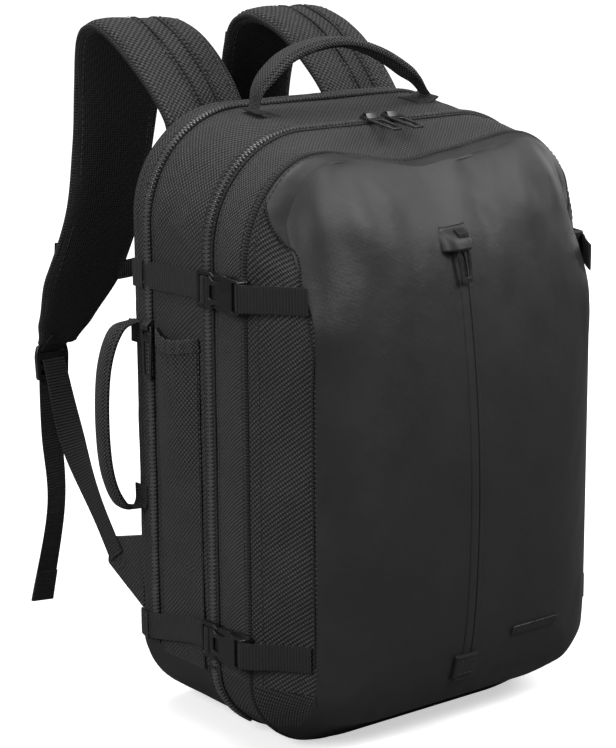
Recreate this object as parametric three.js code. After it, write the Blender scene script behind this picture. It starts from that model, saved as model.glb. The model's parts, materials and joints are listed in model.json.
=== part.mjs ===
import * as THREE from 'three';

// A cabin-size travel backpack standing on its base, in millimetres.
// Z is up, the front faces -Y, and the origin is on the floor under the middle of the body.

// ---------------------------------------------------------------- driving dimensions
const width = 310;
const backY = 108;
const bulgeY = -104;
const rearHeight = 463;
const zipHeight = 449;
const zipY = 4;
const baseRadius = 50;
const crownRadius = 80;
const fabric = 3;
const seam = 0.4;
const webWidth = 20;
const webThick = 1.4;
const halfWidth = width / 2;

const colour = {
  twill: 0x2b2b2d,
  coated: 0x3a3a3d,
  mesh: 0x141415,
  webbing: 0x1c1c1e,
  plastic: 0x151516,
  coil: 0x202022,
};

// ---------------------------------------------------------------- small helpers
const v = (x, y, z) => new THREE.Vector3(x, y, z);
const mix = THREE.MathUtils.lerp;
const smooth = THREE.MathUtils.smoothstep;

function steps(count) {
  return Array.from({ length: count + 1 }, (_, i) => i / count);
}

// Adds one named piece to the model.
const group = new THREE.Group();
group.name = 'travel_backpack';

function add(name, geometry, color, roughness = 0.9) {
  const material = new THREE.MeshStandardMaterial({ color, roughness, metalness: 0 });
  material.name = name;
  const mesh = new THREE.Mesh(geometry, material);
  mesh.name = name;
  group.add(mesh);
}

// A closed body from points and triangles. Where points meet at a pole the collapsed triangles
// are dropped, and the skin is turned to face out.
function solid(points, triangles) {
  const apart = (a, b) => points[a].distanceTo(points[b]) > 1e-4;
  const real = triangles.filter(([a, b, c]) => apart(a, b) && apart(b, c) && apart(c, a));
  const volume = real.reduce((sum, [a, b, c]) => {
    return sum + points[a].dot(points[b].clone().cross(points[c]));
  }, 0);
  const turned = volume < 0 ? real.map(([a, b, c]) => [a, c, b]) : real;
  const geometry = new THREE.BufferGeometry().setFromPoints(points);
  geometry.setIndex(turned.flat());
  geometry.computeVertexNormals();
  return geometry;
}

// Triangles of a lid over a ring, round a point in its middle.
function fanLid(count, middle) {
  return steps(count).slice(0, -1).map((_, j) => [middle, (j + 1) % count, j]);
}

// Triangles of a lid over a long thin ring, made of its two sides one after the other.
function stripLid(count) {
  return steps(count / 2 - 1).slice(0, -1).flatMap((_, j) => {
    const [near, next, farNext, far] = [j, j + 1, count - 2 - j, count - 1 - j];
    return [[near, far, farNext], [near, farNext, next]];
  });
}

// A skin through a row of rings with the same number of points.
// The row either closes on itself or gets a lid at each end.
function loft(rings, { closed = false, strips = false } = {}) {
  const count = rings[0].length;
  const rows = rings.length;
  const points = rings.flat();
  const at = (i, j) => (i % rows) * count + (j % count);
  const triangles = [];
  for (let i = 0; i < (closed ? rows : rows - 1); i++) {
    for (let j = 0; j < count; j++) {
      triangles.push([at(i, j), at(i, j + 1), at(i + 1, j + 1)]);
      triangles.push([at(i, j), at(i + 1, j + 1), at(i + 1, j)]);
    }
  }
  if (closed) return solid(points, triangles);
  for (const [row, ring] of [[0, rings[0]], [rows - 1, rings.at(-1)]]) {
    const sum = ring.reduce((total, p) => total.add(p), v(0, 0, 0));
    points.push(sum.divideScalar(count));
    const lid = strips ? stripLid(count) : fanLid(count, points.length - 1);
    const shift = row * count;
    for (const corners of lid) {
      const lifted = corners.map((k) => (k < count ? k + shift : k));
      triangles.push(row === 0 ? lifted : lifted.reverse());
    }
  }
  return solid(points, triangles);
}

// The unit normal of a grid of points at one of its points.
function gridNormal(grid, i, j, closed) {
  const rows = grid.length;
  const count = grid[0].length;
  const wrap = (k) => (closed ? (k + count) % count : THREE.MathUtils.clamp(k, 0, count - 1));
  const down = grid[Math.min(i + 1, rows - 1)][j].clone().sub(grid[Math.max(i - 1, 0)][j]);
  const along = grid[i][wrap(j + 1)].clone().sub(grid[i][wrap(j - 1)]);
  if (along.length() < 1e-6) return v(0, -1, 0);
  return along.cross(down).normalize();
}

// A sheet of cloth: a grid of points on its outer face and a thickness towards its inner face.
function sheet(grid, thickness, closed = false) {
  const inner = grid.map((row, i) =>
    row.map((p, j) => p.clone().addScaledVector(gridNormal(grid, i, j, closed), -thickness)));
  const rings = grid[0].map((_, j) => {
    const outside = grid.map((row) => row[j]);
    const inside = inner.map((row) => row[j]).reverse();
    return [...outside, ...inside];
  });
  return loft(rings, { closed, strips: true });
}

// A band along a smooth path. Width, thickness and the direction across it may change along it.
// A soft edge gives it a six-sided, padded section.
function band({ path, across, wide, thick, pieces = 12, soft = 0 }) {
  const value = (thing, t) => (typeof thing === 'function' ? thing(t) : thing);
  const curve = new THREE.CatmullRomCurve3(path, false, 'centripetal');
  const rings = steps(pieces).map((t) => {
    const centre = curve.getPointAt(t);
    const side = value(across, t).clone().normalize();
    const up = side.clone().cross(curve.getTangentAt(t)).normalize();
    const half = value(wide, t) / 2;
    const deep = value(thick, t) / 2;
    const flat = half - soft;
    const section = soft
      ? [[-half, 0], [-flat, deep], [flat, deep], [half, 0], [flat, -deep], [-flat, -deep]]
      : [[-half, -deep], [-half, deep], [half, deep], [half, -deep]];
    return section.map(([s, u]) =>
      centre.clone().addScaledVector(side, s).addScaledVector(up, u));
  });
  return loft(rings);
}

function flatShape(points, holes = []) {
  const flat = (corners) => corners.map(([a, b]) => new THREE.Vector2(a, b));
  const shape = new THREE.Shape(flat(points));
  shape.holes.push(...holes.map((hole) => new THREE.Path(flat(hole))));
  return shape;
}

// A flat shape given in (y, z), made thick along X and centred on x.
function plateAcrossX(points, x, thick, holes = []) {
  const shape = flatShape(points, holes);
  const geometry = new THREE.ExtrudeGeometry(shape, { depth: thick, bevelEnabled: false });
  geometry.translate(0, 0, -thick / 2);
  geometry.applyMatrix4(new THREE.Matrix4().makeBasis(v(0, 1, 0), v(0, 0, 1), v(1, 0, 0)));
  return geometry.translate(x, 0, 0);
}

function rectangle(left, right, bottom, top) {
  return [[left, bottom], [right, bottom], [right, top], [left, top]];
}

// ---------------------------------------------------------------- body sections
// A section is a closed outline round the body, seen from the front. It can lean: it has one
// depth at the sides, one on the floor and one at the crest. Each of the three is also trimmed
// in from the full outline.
const floorBend = 90;
const crestBend = [312, 406];

function section(side, {
  floor = side, crest = side, trim = 0, floorTrim = trim, crestTrim = trim,
} = {}) {
  return { side, floor, crest, trim, floorTrim, crestTrim };
}

function between(a, b, t) {
  return Object.fromEntries(Object.keys(a).map((key) => [key, mix(a[key], b[key], t)]));
}

function shifted(a, distance, trimmed = 0) {
  return {
    side: a.side + distance,
    floor: a.floor + distance,
    crest: a.crest + distance,
    trim: a.trim + trimmed,
    floorTrim: a.floorTrim + trimmed,
    crestTrim: a.crestTrim + trimmed,
  };
}

// Height of the body's top at a depth: it falls from the back towards the front.
function topAt(y) {
  return zipHeight + ((rearHeight - zipHeight) * (y - zipY)) / (backY - zipY);
}

function depthAt(part, z) {
  const low = Math.max(0, 1 - z / floorBend) ** 2;
  const high = smooth(z, ...crestBend);
  return part.side + (part.floor - part.side) * low + (part.crest - part.side) * high;
}

const stepsIn = { bottom: 3, foot: 6, side: 9, crown: 7, top: 3 };
const wallStart = stepsIn.bottom + stepsIn.foot + 1;
const wallFoot = baseRadius + 3 * seam;

// The right half of a section, from the middle of the floor to the middle of the top.
function rightHalf(part) {
  const half = halfWidth - part.trim;
  const ceiling = topAt(part.crest) - part.crestTrim;
  const footAcross = Math.max(baseRadius - part.trim, 4);
  const footUp = Math.max(baseRadius - part.floorTrim, 4);
  const crown = crownRadius - part.trim;
  const flat = [];
  for (const t of steps(stepsIn.bottom)) flat.push([mix(0, half - footAcross, t), part.floorTrim]);
  for (const t of steps(stepsIn.foot).slice(1)) {
    const turn = (t * Math.PI) / 2;
    const x = half - footAcross * (1 - Math.sin(turn));
    flat.push([x, part.floorTrim + footUp * (1 - Math.cos(turn))]);
  }
  for (const t of steps(stepsIn.side)) flat.push([half, mix(wallFoot, ceiling - crown, t)]);
  for (const t of steps(stepsIn.crown).slice(1)) {
    const turn = (t * Math.PI) / 2;
    flat.push([half - crown * (1 - Math.cos(turn)), ceiling - crown * (1 - Math.sin(turn))]);
  }
  for (const t of steps(stepsIn.top).slice(1)) flat.push([mix(half - crown, 0, t), ceiling]);
  return flat.map(([x, z]) => v(x, depthAt(part, z), z));
}

function mirrored(points) {
  return points.map((p) => v(-p.x, p.y, p.z)).reverse();
}

function wholeLoop(part) {
  const half = rightHalf(part);
  return [...half, ...mirrored(half.slice(1, -1))];
}

// The walls and top, which stand on the tray, and the tray's own part of a section.
function overTheTop(part) {
  const half = rightHalf(part).slice(wallStart);
  return [...half, ...mirrored(half.slice(0, -1))];
}

function underTheFloor(part) {
  const half = rightHalf(part).slice(0, wallStart);
  return [...mirrored(half.slice(1)), ...half];
}

function spread(first, last, count) {
  return steps(count).map((t) => between(first, last, t));
}

const backEdge = section(backY - 2, { trim: 8 });
const rearBand = section(backY - 9, { trim: 1 });
const laptopZip = section(79);
const mainZip = section(zipY);
const pipingLine = section(-38);
const frontTurn = section(-42);
const panelEdge = section(-85, { floor: -76, crest: -52, trim: 24, crestTrim: 1 });
const tape = 6;
const cordRadius = 1.6;
const cordRoom = 4;

// ---------------------------------------------------------------- rear body
function addRearBody() {
  const padLines = [
    section(backY - 7, { trim: 12.5 }),
    section(backY - 1, { trim: 12.5 }),
    section(backY + 3, { trim: 22 }),
  ];
  add('back_panel', loft(padLines.map(wholeLoop)), colour.mesh);

  const rear = [backEdge, rearBand, shifted(laptopZip, tape / 2 + seam)];
  add('laptop_band', sheet(rear.map(overTheTop), fabric), colour.twill);

  const coil = [shifted(laptopZip, tape / 2, -1), shifted(laptopZip, -tape / 2, -1)];
  add('laptop_zip', sheet(coil.map(overTheTop), 2.4), colour.coil, 0.6);

  const shell = spread(shifted(laptopZip, -tape / 2 - seam), shifted(mainZip, tape + seam), 5);
  add('main_shell', sheet(shell.map(overTheTop), fabric), colour.twill);

  const divider = [section(68, { trim: 3.6 }), section(63, { trim: 3.6 })];
  add('laptop_divider', loft(divider.map(wholeLoop)), colour.mesh);
}

// The tray is the lower part of the whole body: it runs under the floor and turns up in front.
function addBaseTray() {
  const under = [backEdge, rearBand, ...spread(section(72), frontTurn, 3)];
  const upTheFront = spread(frontTurn, panelEdge, 3).slice(1);
  const rows = [...under, ...upTheFront].map(underTheFloor);
  for (const distance of [8, 21]) {
    const row = underTheFloor(shifted(panelEdge, 0, distance));
    rows.push(row.map((p) => p.setY(panelDepth(distance, p.z))));
  }
  add('base_tray', sheet(rows, fabric), colour.coated, 0.6);
}

function addMainZip() {
  const halves = { main_zip_rear: [tape, seam / 2], main_zip_front: [-seam / 2, -tape] };
  for (const [name, [from, to]] of Object.entries(halves)) {
    const lines = [shifted(mainZip, from, -1), shifted(mainZip, to, -1)];
    add(name, sheet(lines.map(overTheTop), 2.4), colour.coil, 0.6);
  }
}

// A mesh-and-cloth pocket on the side wall, open at the top.
const pocket = { low: 54, high: 300, front: 16, rear: 70, swell: 9 };

function addSidePocket(side) {
  const grid = steps(8).map((t) => {
    const z = mix(pocket.high, pocket.low, t);
    const open = smooth(z, 95, pocket.high);
    return steps(6).map((s) => {
      const out = pocket.swell * open * Math.sin(Math.PI * s);
      return v(side * (halfWidth + 1.8 + out), mix(pocket.rear, pocket.front, s), z);
    });
  });
  add(`side_pocket_${sideName(side)}`, sheet(grid, side * -1.2), colour.twill);
}

function sideName(side) {
  return side < 0 ? 'left' : 'right';
}

// ---------------------------------------------------------------- front cover
const panelReach = 90;

// Depth of the front face, away from its edges, at a height: it is bowed, with its furthest
// point forward below the middle.
const bow = { radius: 915, z: 180 };

function faceDepth(z) {
  return bulgeY + bow.radius - Math.sqrt(bow.radius ** 2 - (z - bow.z) ** 2);
}

// Depth of the front face a distance in from the panel's edge, at a height.
function panelDepth(distance, z) {
  const rest = Math.max(0, 1 - distance / panelReach) ** 4;
  return mix(faceDepth(z), depthAt(panelEdge, z), rest);
}

// Half of the panel's width at a height, and the distance of one of its points from its edge.
const panelTop = topAt(panelEdge.crest) - panelEdge.crestTrim - seam;
const panelHalf = halfWidth - panelEdge.trim - seam;
const panelCrown = crownRadius - panelEdge.trim;

function panelHalfAt(z) {
  const rise = Math.max(0, z - (panelTop - panelCrown));
  return panelHalf - panelCrown + Math.sqrt(Math.max(0, panelCrown ** 2 - rise ** 2));
}

function distanceIn(x, z) {
  const out = Math.abs(x) - (panelHalf - panelCrown);
  const rise = z - (panelTop - panelCrown);
  if (out > 0 && rise > 0) return panelCrown - Math.hypot(out, rise);
  return Math.min(panelHalf - Math.abs(x), panelTop - z);
}

function centreDepth(z) {
  return panelDepth(distanceIn(0, z), z);
}

function addFrontCover() {
  const belt = spread(shifted(mainZip, -tape - seam), shifted(pipingLine, cordRoom), 2);
  add('cover_band', sheet(belt.map(overTheTop), fabric), colour.twill);

  const cord = overTheTop(pipingLine);
  const rings = cord.map((p, k) => {
    const ahead = cord[Math.min(k + 1, cord.length - 1)].clone().sub(cord[Math.max(k - 1, 0)]);
    const outward = v(0, -1, 0).cross(ahead).normalize();
    return steps(5).map((t) => {
      const turn = (t * 5 * Math.PI) / 3;
      return p.clone().addScaledVector(outward, cordRadius * Math.cos(turn))
        .add(v(0, cordRadius * Math.sin(turn), 0));
    });
  });
  add('piping', loft(rings), colour.webbing);

  const gusset = spread(shifted(pipingLine, -cordRoom), shifted(panelEdge, fabric + 2 * seam), 4);
  add('front_gusset', sheet(gusset.map(overTheTop), fabric), colour.twill);

  const across = steps(14).map((t) => Math.sin((t - 0.5) * Math.PI));
  const heights = [0, 0.12, 0.26, 0.4, 0.54, 0.66, 0.76, 0.84, 0.9, 0.94, 0.97, 0.99, 1];
  const face = heights.map((t) => {
    const z = mix(wallFoot, panelTop, t);
    return across.map((s) => {
      const x = s * panelHalfAt(z);
      return v(x, panelDepth(Math.max(0, distanceIn(x, z)), z) - seam, z);
    });
  });
  add('front_panel', sheet(face, 2.5), colour.coated, 0.5);

  const lining = [-50, -52].map((y) => section(y, { trim: 22 }));
  add('pocket_lining', loft(lining.map((s) => overTheTop(s))), colour.twill);
}

// ---------------------------------------------------------------- front zip
const frontZip = { high: 386, low: 62, wide: 12, park: 375 };
const badge = { x: 68, z: 71, wide: 48, high: 9 };

function alongFront(low, high, lift, count = 10) {
  return steps(count).map((t) => {
    const z = mix(high, low, t);
    return v(0, centreDepth(z) - seam - lift, z);
  });
}

function addFrontZip() {
  const across = v(1, 0, 0);
  const chain = alongFront(frontZip.low, frontZip.high, 1.1);
  add('front_zip', band({ path: chain, across, wide: frontZip.wide, thick: 1.4 }), colour.coil);

  const hood = alongFront(frontZip.high + 2, frontZip.high + 24, 2.2, 4);
  const hoodWide = (t) => mix(14, 24, t);
  add('zip_hood', band({ path: hood, across, wide: hoodWide, thick: 3, pieces: 4 }), colour.twill);

  const tab = alongFront(frontZip.low - 19, frontZip.low - 1, 1.6, 3);
  add('zip_end_tab', band({ path: tab, across, wide: 22, thick: 2.4, pieces: 3 }), colour.coated);

  const badgeLine = steps(4).map((t) => {
    const x = badge.x + mix(-badge.wide, badge.wide, t) / 2;
    return v(x, panelDepth(distanceIn(x, badge.z), badge.z) - seam - 1.4, badge.z);
  });
  add('badge', band({ path: badgeLine, across: v(0, 0, 1), wide: badge.high, thick: 1.4, pieces: 4 }),
    colour.plastic, 0.4);
}

// ---------------------------------------------------------------- zip sliders
// Both pieces are made with the puller's pin along X, the cloth's outside along Z
// and the puller lying along -Y, then turned into place.
const slider = { wide: 9, half: 5.5, pinHeight: 3.2, pinHole: 1.7 };
const puller = { wide: 13, thick: 1.8, eye: 6.5, pin: 1.8 };

function placed(geometry, origin, along, outward) {
  const across = along.clone().cross(outward);
  const turn = new THREE.Matrix4().makeBasis(across, along, outward).setPosition(origin);
  return geometry.applyMatrix4(turn);
}

function circle(y, z, radius, count) {
  return steps(count).slice(1).map((t) => {
    const turn = t * 2 * Math.PI;
    return [y + radius * Math.cos(turn), z + radius * Math.sin(turn)];
  });
}

function sliderBody() {
  const { half, pinHeight, pinHole } = slider;
  const profile = [
    [-half, 0], [half, 0], [half, 1.6], [2.8, pinHeight + 1.2], [1.6, pinHeight + 2.9],
    [-1.6, pinHeight + 2.9], [-2.8, pinHeight + 1.2], [-half, 1.6],
  ];
  return plateAcrossX(profile, 0, slider.wide, [circle(0, pinHeight, pinHole, 12)]);
}

function pullTab(length) {
  const half = puller.wide / 2;
  const gap = slider.wide / 2 + 0.4;
  const top = puller.pin / 2;
  const outline = [
    [-half, top], [-half, -puller.eye - 3], [2 - half, -length], [half - 2, -length],
    [half, -puller.eye - 3], [half, top],
  ];
  const eye = rectangle(-gap, gap, -puller.eye, -top);
  const grip = rectangle(3.2 - half, half - 3.2, 4 - length, -puller.eye - 5);
  const shape = flatShape(outline, [eye, grip]);
  const geometry = new THREE.ExtrudeGeometry(shape, { depth: puller.thick, bevelEnabled: false });
  return geometry.translate(0, 0, -puller.thick / 2);
}

function addSlider(name, origin, along, outward, length, droop) {
  add(`${name}_slider`, placed(sliderBody(), origin, along, outward), colour.plastic, 0.4);
  const tab = pullTab(length).rotateX(droop).translate(0, 0, slider.pinHeight);
  add(`${name}_puller`, placed(tab, origin, along, outward), colour.plastic, 0.4);
}

const mainSliderX = 10;

function addSliders() {
  const up = v(0, 0, 1);
  const alongTop = v(0, backY - zipY, rearHeight - zipHeight).normalize();
  const outOfTop = v(1, 0, 0).cross(alongTop);
  const droop = THREE.MathUtils.degToRad(3);
  for (const side of [-1, 1]) {
    const seat = v(side * mainSliderX, zipY, zipHeight + 1 + seam);
    addSlider(`main_${sideName(side)}`, seat, alongTop, outOfTop, 34, droop);
  }
  const lean = Math.asin((frontZip.park - bow.z) / bow.radius);
  const upFace = v(0, Math.sin(lean), Math.cos(lean));
  const outOfFace = v(1, 0, 0).cross(upFace);
  const seat = v(0, centreDepth(frontZip.park) - seam, frontZip.park);
  seat.addScaledVector(outOfFace, 1.8 + seam);
  addSlider('front', seat, upFace, outOfFace, 34, 0);
  addSlider('laptop', v(-halfWidth - 1 - seam, laptopZip.side, 304), up, v(-1, 0, 0), 40, 0);
}

// ---------------------------------------------------------------- compression straps
// Each strap lies across one side: webbing from the rear, a clip, webbing to the front panel.
const clip = { rear: 9, mouth: -18, end: -44, high: 27, gap: 5.2, wall: 1.7 };
const strapRows = { upper: { z: 344, lift: 0 }, lower: { z: 84, lift: 2.4 } };

function addCompressionStrap(side, row) {
  const { z, lift } = strapRows[row];
  const label = `${row}_${sideName(side)}`;
  const wall = halfWidth + 1.6 + lift;
  const clipX = halfWidth + 6.4 + lift;
  const up = v(0, 0, 1);
  const ribbon = { across: up, wide: webWidth, thick: webThick };

  const rear = [[backY - 9, halfWidth + 1.2], [backY - 16, wall + 0.6], [64, wall + 0.8],
    [40, wall + 0.8], [clip.rear - 10, wall + 0.8]];
  const rearPath = rear.map(([y, x]) => v(side * x, y, z));
  add(`strap_rear_${label}`, band({ ...ribbon, path: rearPath }), colour.webbing);

  const front = [[clip.end - seam, clipX], [-51, clipX - 3], [-58, halfWidth - 5],
    [-68, halfWidth - 12], [-80, halfWidth - 19]];
  const frontPath = front.map(([y, x]) => v(side * x, y, z));
  add(`strap_front_${label}`, band({ ...ribbon, path: frontPath }), colour.webbing);

  add(`clip_male_${label}`, clipMale().translate(side * clipX, 0, z), colour.plastic, 0.45);
  add(`clip_female_${label}`, clipFemale().translate(side * clipX, 0, z), colour.plastic, 0.45);
}

// The half with the two prongs and the ladder bars that the rear webbing is threaded on.
function clipMale() {
  const half = clip.high / 2;
  const tip = clip.mouth - 17;
  const shape = [
    [clip.rear, -half], [clip.rear, half], [clip.mouth + 3, half], [clip.mouth, half - 3],
    [tip + 5, half - 1.5], [tip, half - 5], [tip + 4, half - 7.5], [clip.mouth + 2, half - 7.5],
    [clip.mouth + 2, 7.5 - half], [tip + 4, 7.5 - half], [tip, 5 - half], [tip + 5, 1.5 - half],
    [clip.mouth, 3 - half], [clip.mouth + 3, -half],
  ];
  const slot = (y, room) => rectangle(y - 2, y + 2, -webWidth / 2 - room, webWidth / 2 + room);
  const holes = [slot(clip.rear - 5, 0.8), slot(clip.rear - 13, 0.6)];
  return plateAcrossX(shape, 0, clip.gap - 0.8, holes);
}

// The half that takes the prongs: two plates joined at the end that holds the front webbing.
function clipFemale() {
  const outer = clip.gap / 2 + clip.wall;
  const inner = clip.gap / 2;
  const back = clip.end + 5;
  const shape = flatShape([
    [-outer, clip.mouth - seam], [-outer, clip.end], [outer, clip.end], [outer, clip.mouth - seam],
    [inner, clip.mouth - seam], [inner, back], [-inner, back], [-inner, clip.mouth - seam],
  ]);
  const geometry = new THREE.ExtrudeGeometry(shape, { depth: clip.high, bevelEnabled: false });
  return geometry.translate(0, 0, -clip.high / 2);
}

// ---------------------------------------------------------------- carrying handles
function addTopHandle() {
  const y = 48;
  const foot = topAt(y) + 5;
  const arch = [[-82, 0], [-74, 18], [-46, 37], [0, 44], [46, 37], [74, 18], [82, 0]];
  const path = arch.map(([x, rise]) => v(x, y, foot + rise));
  const wide = (t) => mix(11, 23, smooth(Math.sin(Math.PI * t), 0, 0.7));
  add('top_handle', band({ path, across: v(0, 1, 0), wide, thick: 7, pieces: 22, soft: 3 }),
    colour.webbing);
}

function addSideHandle() {
  const y = 96;
  const wall = -halfWidth - 2.4;
  const arch = [[306, 0], [300, 17], [274, 28], [235, 32], [194, 28], [168, 17], [162, 0]];
  const path = arch.map(([z, out]) => v(wall - out, y, z));
  add('side_handle', band({ path, across: v(0, 1, 0), wide: 13, thick: 6, pieces: 20, soft: 2.5 }),
    colour.webbing);
}

// ---------------------------------------------------------------- shoulder straps
// Each strap leaves the top of the back, folds over above the body and hangs behind it. Both
// lean to the left, so they are not mirror images. A line is (x, y, z) along a strap's middle.
const straps = {
  left: {
    twist: -28,
    line: [[-78, 115, 448], [-82, 127, 468], [-89, 146, 490], [-95, 163, 504],
      [-99, 176, 507], [-102, 186, 499], [-105, 192, 466], [-110, 194, 420],
      [-119, 196, 368], [-134, 205, 318], [-151, 218, 268]],
  },
  right: {
    twist: -6,
    line: [[76, 115, 448], [71, 128, 470], [62, 149, 494], [53, 169, 510],
      [47, 184, 513], [42, 196, 503], [39, 207, 468], [42, 214, 420],
      [54, 219, 368], [76, 224, 318], [97, 226, 268]],
  },
};
const baseTab = { x: 149, thick: 2.4, footY: 140, footZ: 108 };
const lockSize = { wide: 30, high: 28, thick: 4 };
const sternum = { z: 322, lift: 11, wide: 16, size: 0.8 };

function lastPoint(name) {
  return v(...straps[name].line.at(-1));
}

// A point on a strap's middle at a height, on the hanging length behind the body.
function strapAt(name, z) {
  const line = straps[name].line;
  const k = line.findLastIndex((point) => point[2] >= z);
  const t = (line[k][2] - z) / (line[k][2] - line[k + 1][2]);
  return v(...line[k]).lerp(v(...line[k + 1]), t);
}

function addShoulderStrap(name) {
  const { twist, line } = straps[name];
  const across = (t) => {
    const turn = THREE.MathUtils.degToRad(twist) * smooth(t, 0, 0.25);
    return v(Math.cos(turn), Math.sin(turn), 0);
  };
  const wide = (t) => mix(72, 66, smooth(t, 0, 0.5)) - 28 * smooth(t, 0.8, 1);
  const path = line.map((point) => v(...point));
  const strap = band({ path, across, wide, thick: 11, pieces: 30, soft: 5 });
  add(`shoulder_strap_${name}`, strap, colour.mesh);
}

// The strap's lower end: a ladder lock, the webbing from it down to a tab on the body's back,
// and the loose tail that hangs from it.
function addStrapAdjuster(name) {
  const side = name === 'left' ? -1 : 1;
  const top = lastPoint(name).add(v(side * 3, 4, -2));
  add(`ladder_lock_${name}`, lockFrame().translate(...top), colour.plastic, 0.45);

  const start = top.clone().add(v(0, -1, -1 - lockSize.high));
  const outward = Math.sign(side * start.x - baseTab.x);
  const footX = baseTab.x + outward * (baseTab.thick / 2 + webThick / 2 + 1.3);
  const foot = v(side * footX, baseTab.footY, baseTab.footZ);
  const middle = start.clone().lerp(foot, 0.5).add(v(0, 14, 0));
  const turned = v(0, start.z - foot.z, foot.y - start.y).normalize().multiplyScalar(side);
  const turning = (t) => v(1, 0, 0).lerp(turned, smooth(t, 0, 0.9));
  const ribbon = { wide: webWidth, thick: webThick };
  add(`lower_webbing_${name}`,
    band({ ...ribbon, path: [start, middle, foot], across: turning, pieces: 24 }), colour.webbing);

  const tailTop = start.clone().add(v(0, 4.5, 0));
  const tail = [tailTop, tailTop.clone().add(v(side * 5, 6, -96)),
    tailTop.clone().add(v(side * 9, 13, -184))];
  add(`webbing_tail_${name}`, band({ ...ribbon, path: tail, across: v(1, 0, 0) }),
    colour.webbing);

  const tabShape = [[backY + 0.5, 76], [158, 104], [150, 130], [backY + 0.5, 136]];
  add(`base_tab_${name}`, plateAcrossX(tabShape, side * baseTab.x, baseTab.thick), colour.twill);
}

function lockFrame() {
  const { wide, high, thick } = lockSize;
  const half = webWidth / 2 + 0.8;
  const slots = [rectangle(-half, half, -8, -4), rectangle(0.3 - half, half - 0.3, -20, -13)];
  const shape = flatShape(rectangle(-wide / 2, wide / 2, -high, 0), slots);
  const geometry = new THREE.ExtrudeGeometry(shape, { depth: thick, bevelEnabled: false });
  return geometry.rotateX(Math.PI / 2).translate(0, thick / 2, 0);
}

// The chest strap joins the two shoulder straps behind the body, with a small clip of the same
// kind lying over the webbing in the middle.
function addSternumStrap() {
  const { z, lift, wide, size } = sternum;
  const ends = Object.keys(straps).map((name) => strapAt(name, z).add(v(0, lift, 0)));
  const centre = ends[0].clone().lerp(ends[1], 0.5).add(v(0, 6, -5));
  const half = ((clip.rear - clip.end) / 2) * size;
  const stops = { left: [ends[0], 8 - half], right: [ends[1], half + seam] };
  for (const [name, [start, stop]] of Object.entries(stops)) {
    const finish = centre.clone().add(v(stop, 0, 0));
    const sag = start.clone().lerp(finish, 0.5).add(v(0, 1, 0));
    const path = [start, sag, finish];
    const ribbon = band({ path, across: v(0, 0, 1), wide, thick: webThick, pieces: 6 });
    add(`sternum_webbing_${name}`, ribbon, colour.webbing);
  }
  const put = (geometry) => geometry.translate(0, -(clip.rear + clip.end) / 2, 0)
    .scale(size, size, size).rotateZ(Math.PI / 2).translate(centre.x, centre.y + 4, centre.z);
  add('sternum_clip_male', put(clipMale()), colour.plastic, 0.45);
  add('sternum_clip_female', put(clipFemale()), colour.plastic, 0.45);
}

// ---------------------------------------------------------------- the backpack
addRearBody();
addBaseTray();
addMainZip();
addFrontCover();
addFrontZip();
addSliders();
for (const side of [-1, 1]) {
  addSidePocket(side);
  addShoulderStrap(sideName(side));
  addStrapAdjuster(sideName(side));
  for (const row of Object.keys(strapRows)) addCompressionStrap(side, row);
}
addTopHandle();
addSideHandle();
addSternumStrap();

export default group;
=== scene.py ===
"""Looks of the travel backpack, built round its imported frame, in metres.

+Z is up and the front faces -Y. Each soft piece is a sheet of cloth shaped in mesh code over
the same sections as the frame, and places come from the boxes of the frame's nodes.
"""

import json
import math
from collections import namedtuple

import bpy
import numpy as np
from mathutils import Matrix, Vector


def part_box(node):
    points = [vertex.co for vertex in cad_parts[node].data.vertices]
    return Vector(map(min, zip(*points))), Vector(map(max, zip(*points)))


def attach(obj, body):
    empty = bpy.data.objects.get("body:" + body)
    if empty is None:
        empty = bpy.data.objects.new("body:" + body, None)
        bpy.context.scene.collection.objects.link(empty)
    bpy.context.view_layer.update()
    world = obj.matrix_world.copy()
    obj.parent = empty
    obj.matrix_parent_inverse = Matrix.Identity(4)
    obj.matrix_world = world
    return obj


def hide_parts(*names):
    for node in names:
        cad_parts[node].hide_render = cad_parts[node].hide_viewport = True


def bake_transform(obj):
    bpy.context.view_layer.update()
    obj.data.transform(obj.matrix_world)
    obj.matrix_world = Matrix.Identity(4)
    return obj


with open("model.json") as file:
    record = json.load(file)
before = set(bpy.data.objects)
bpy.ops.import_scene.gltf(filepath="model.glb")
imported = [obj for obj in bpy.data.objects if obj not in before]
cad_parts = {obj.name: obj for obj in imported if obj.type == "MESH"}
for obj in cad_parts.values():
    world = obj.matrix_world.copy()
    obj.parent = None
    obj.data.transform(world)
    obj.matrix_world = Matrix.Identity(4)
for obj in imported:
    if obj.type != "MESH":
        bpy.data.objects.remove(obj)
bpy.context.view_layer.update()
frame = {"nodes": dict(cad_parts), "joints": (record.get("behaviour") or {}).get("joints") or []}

X, Y, Z = 0, 1, 2
RIGHT, BACK, UP = np.eye(3)
MM = 0.001
REAR = "rear_body"
COVER = "front_cover"
SIDES = {"left": -1, "right": 1}


def low(node, axis):
    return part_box(node)[0][axis]


def high(node, axis):
    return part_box(node)[1][axis]


def middle(node, axis):
    return (low(node, axis) + high(node, axis)) / 2


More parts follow.
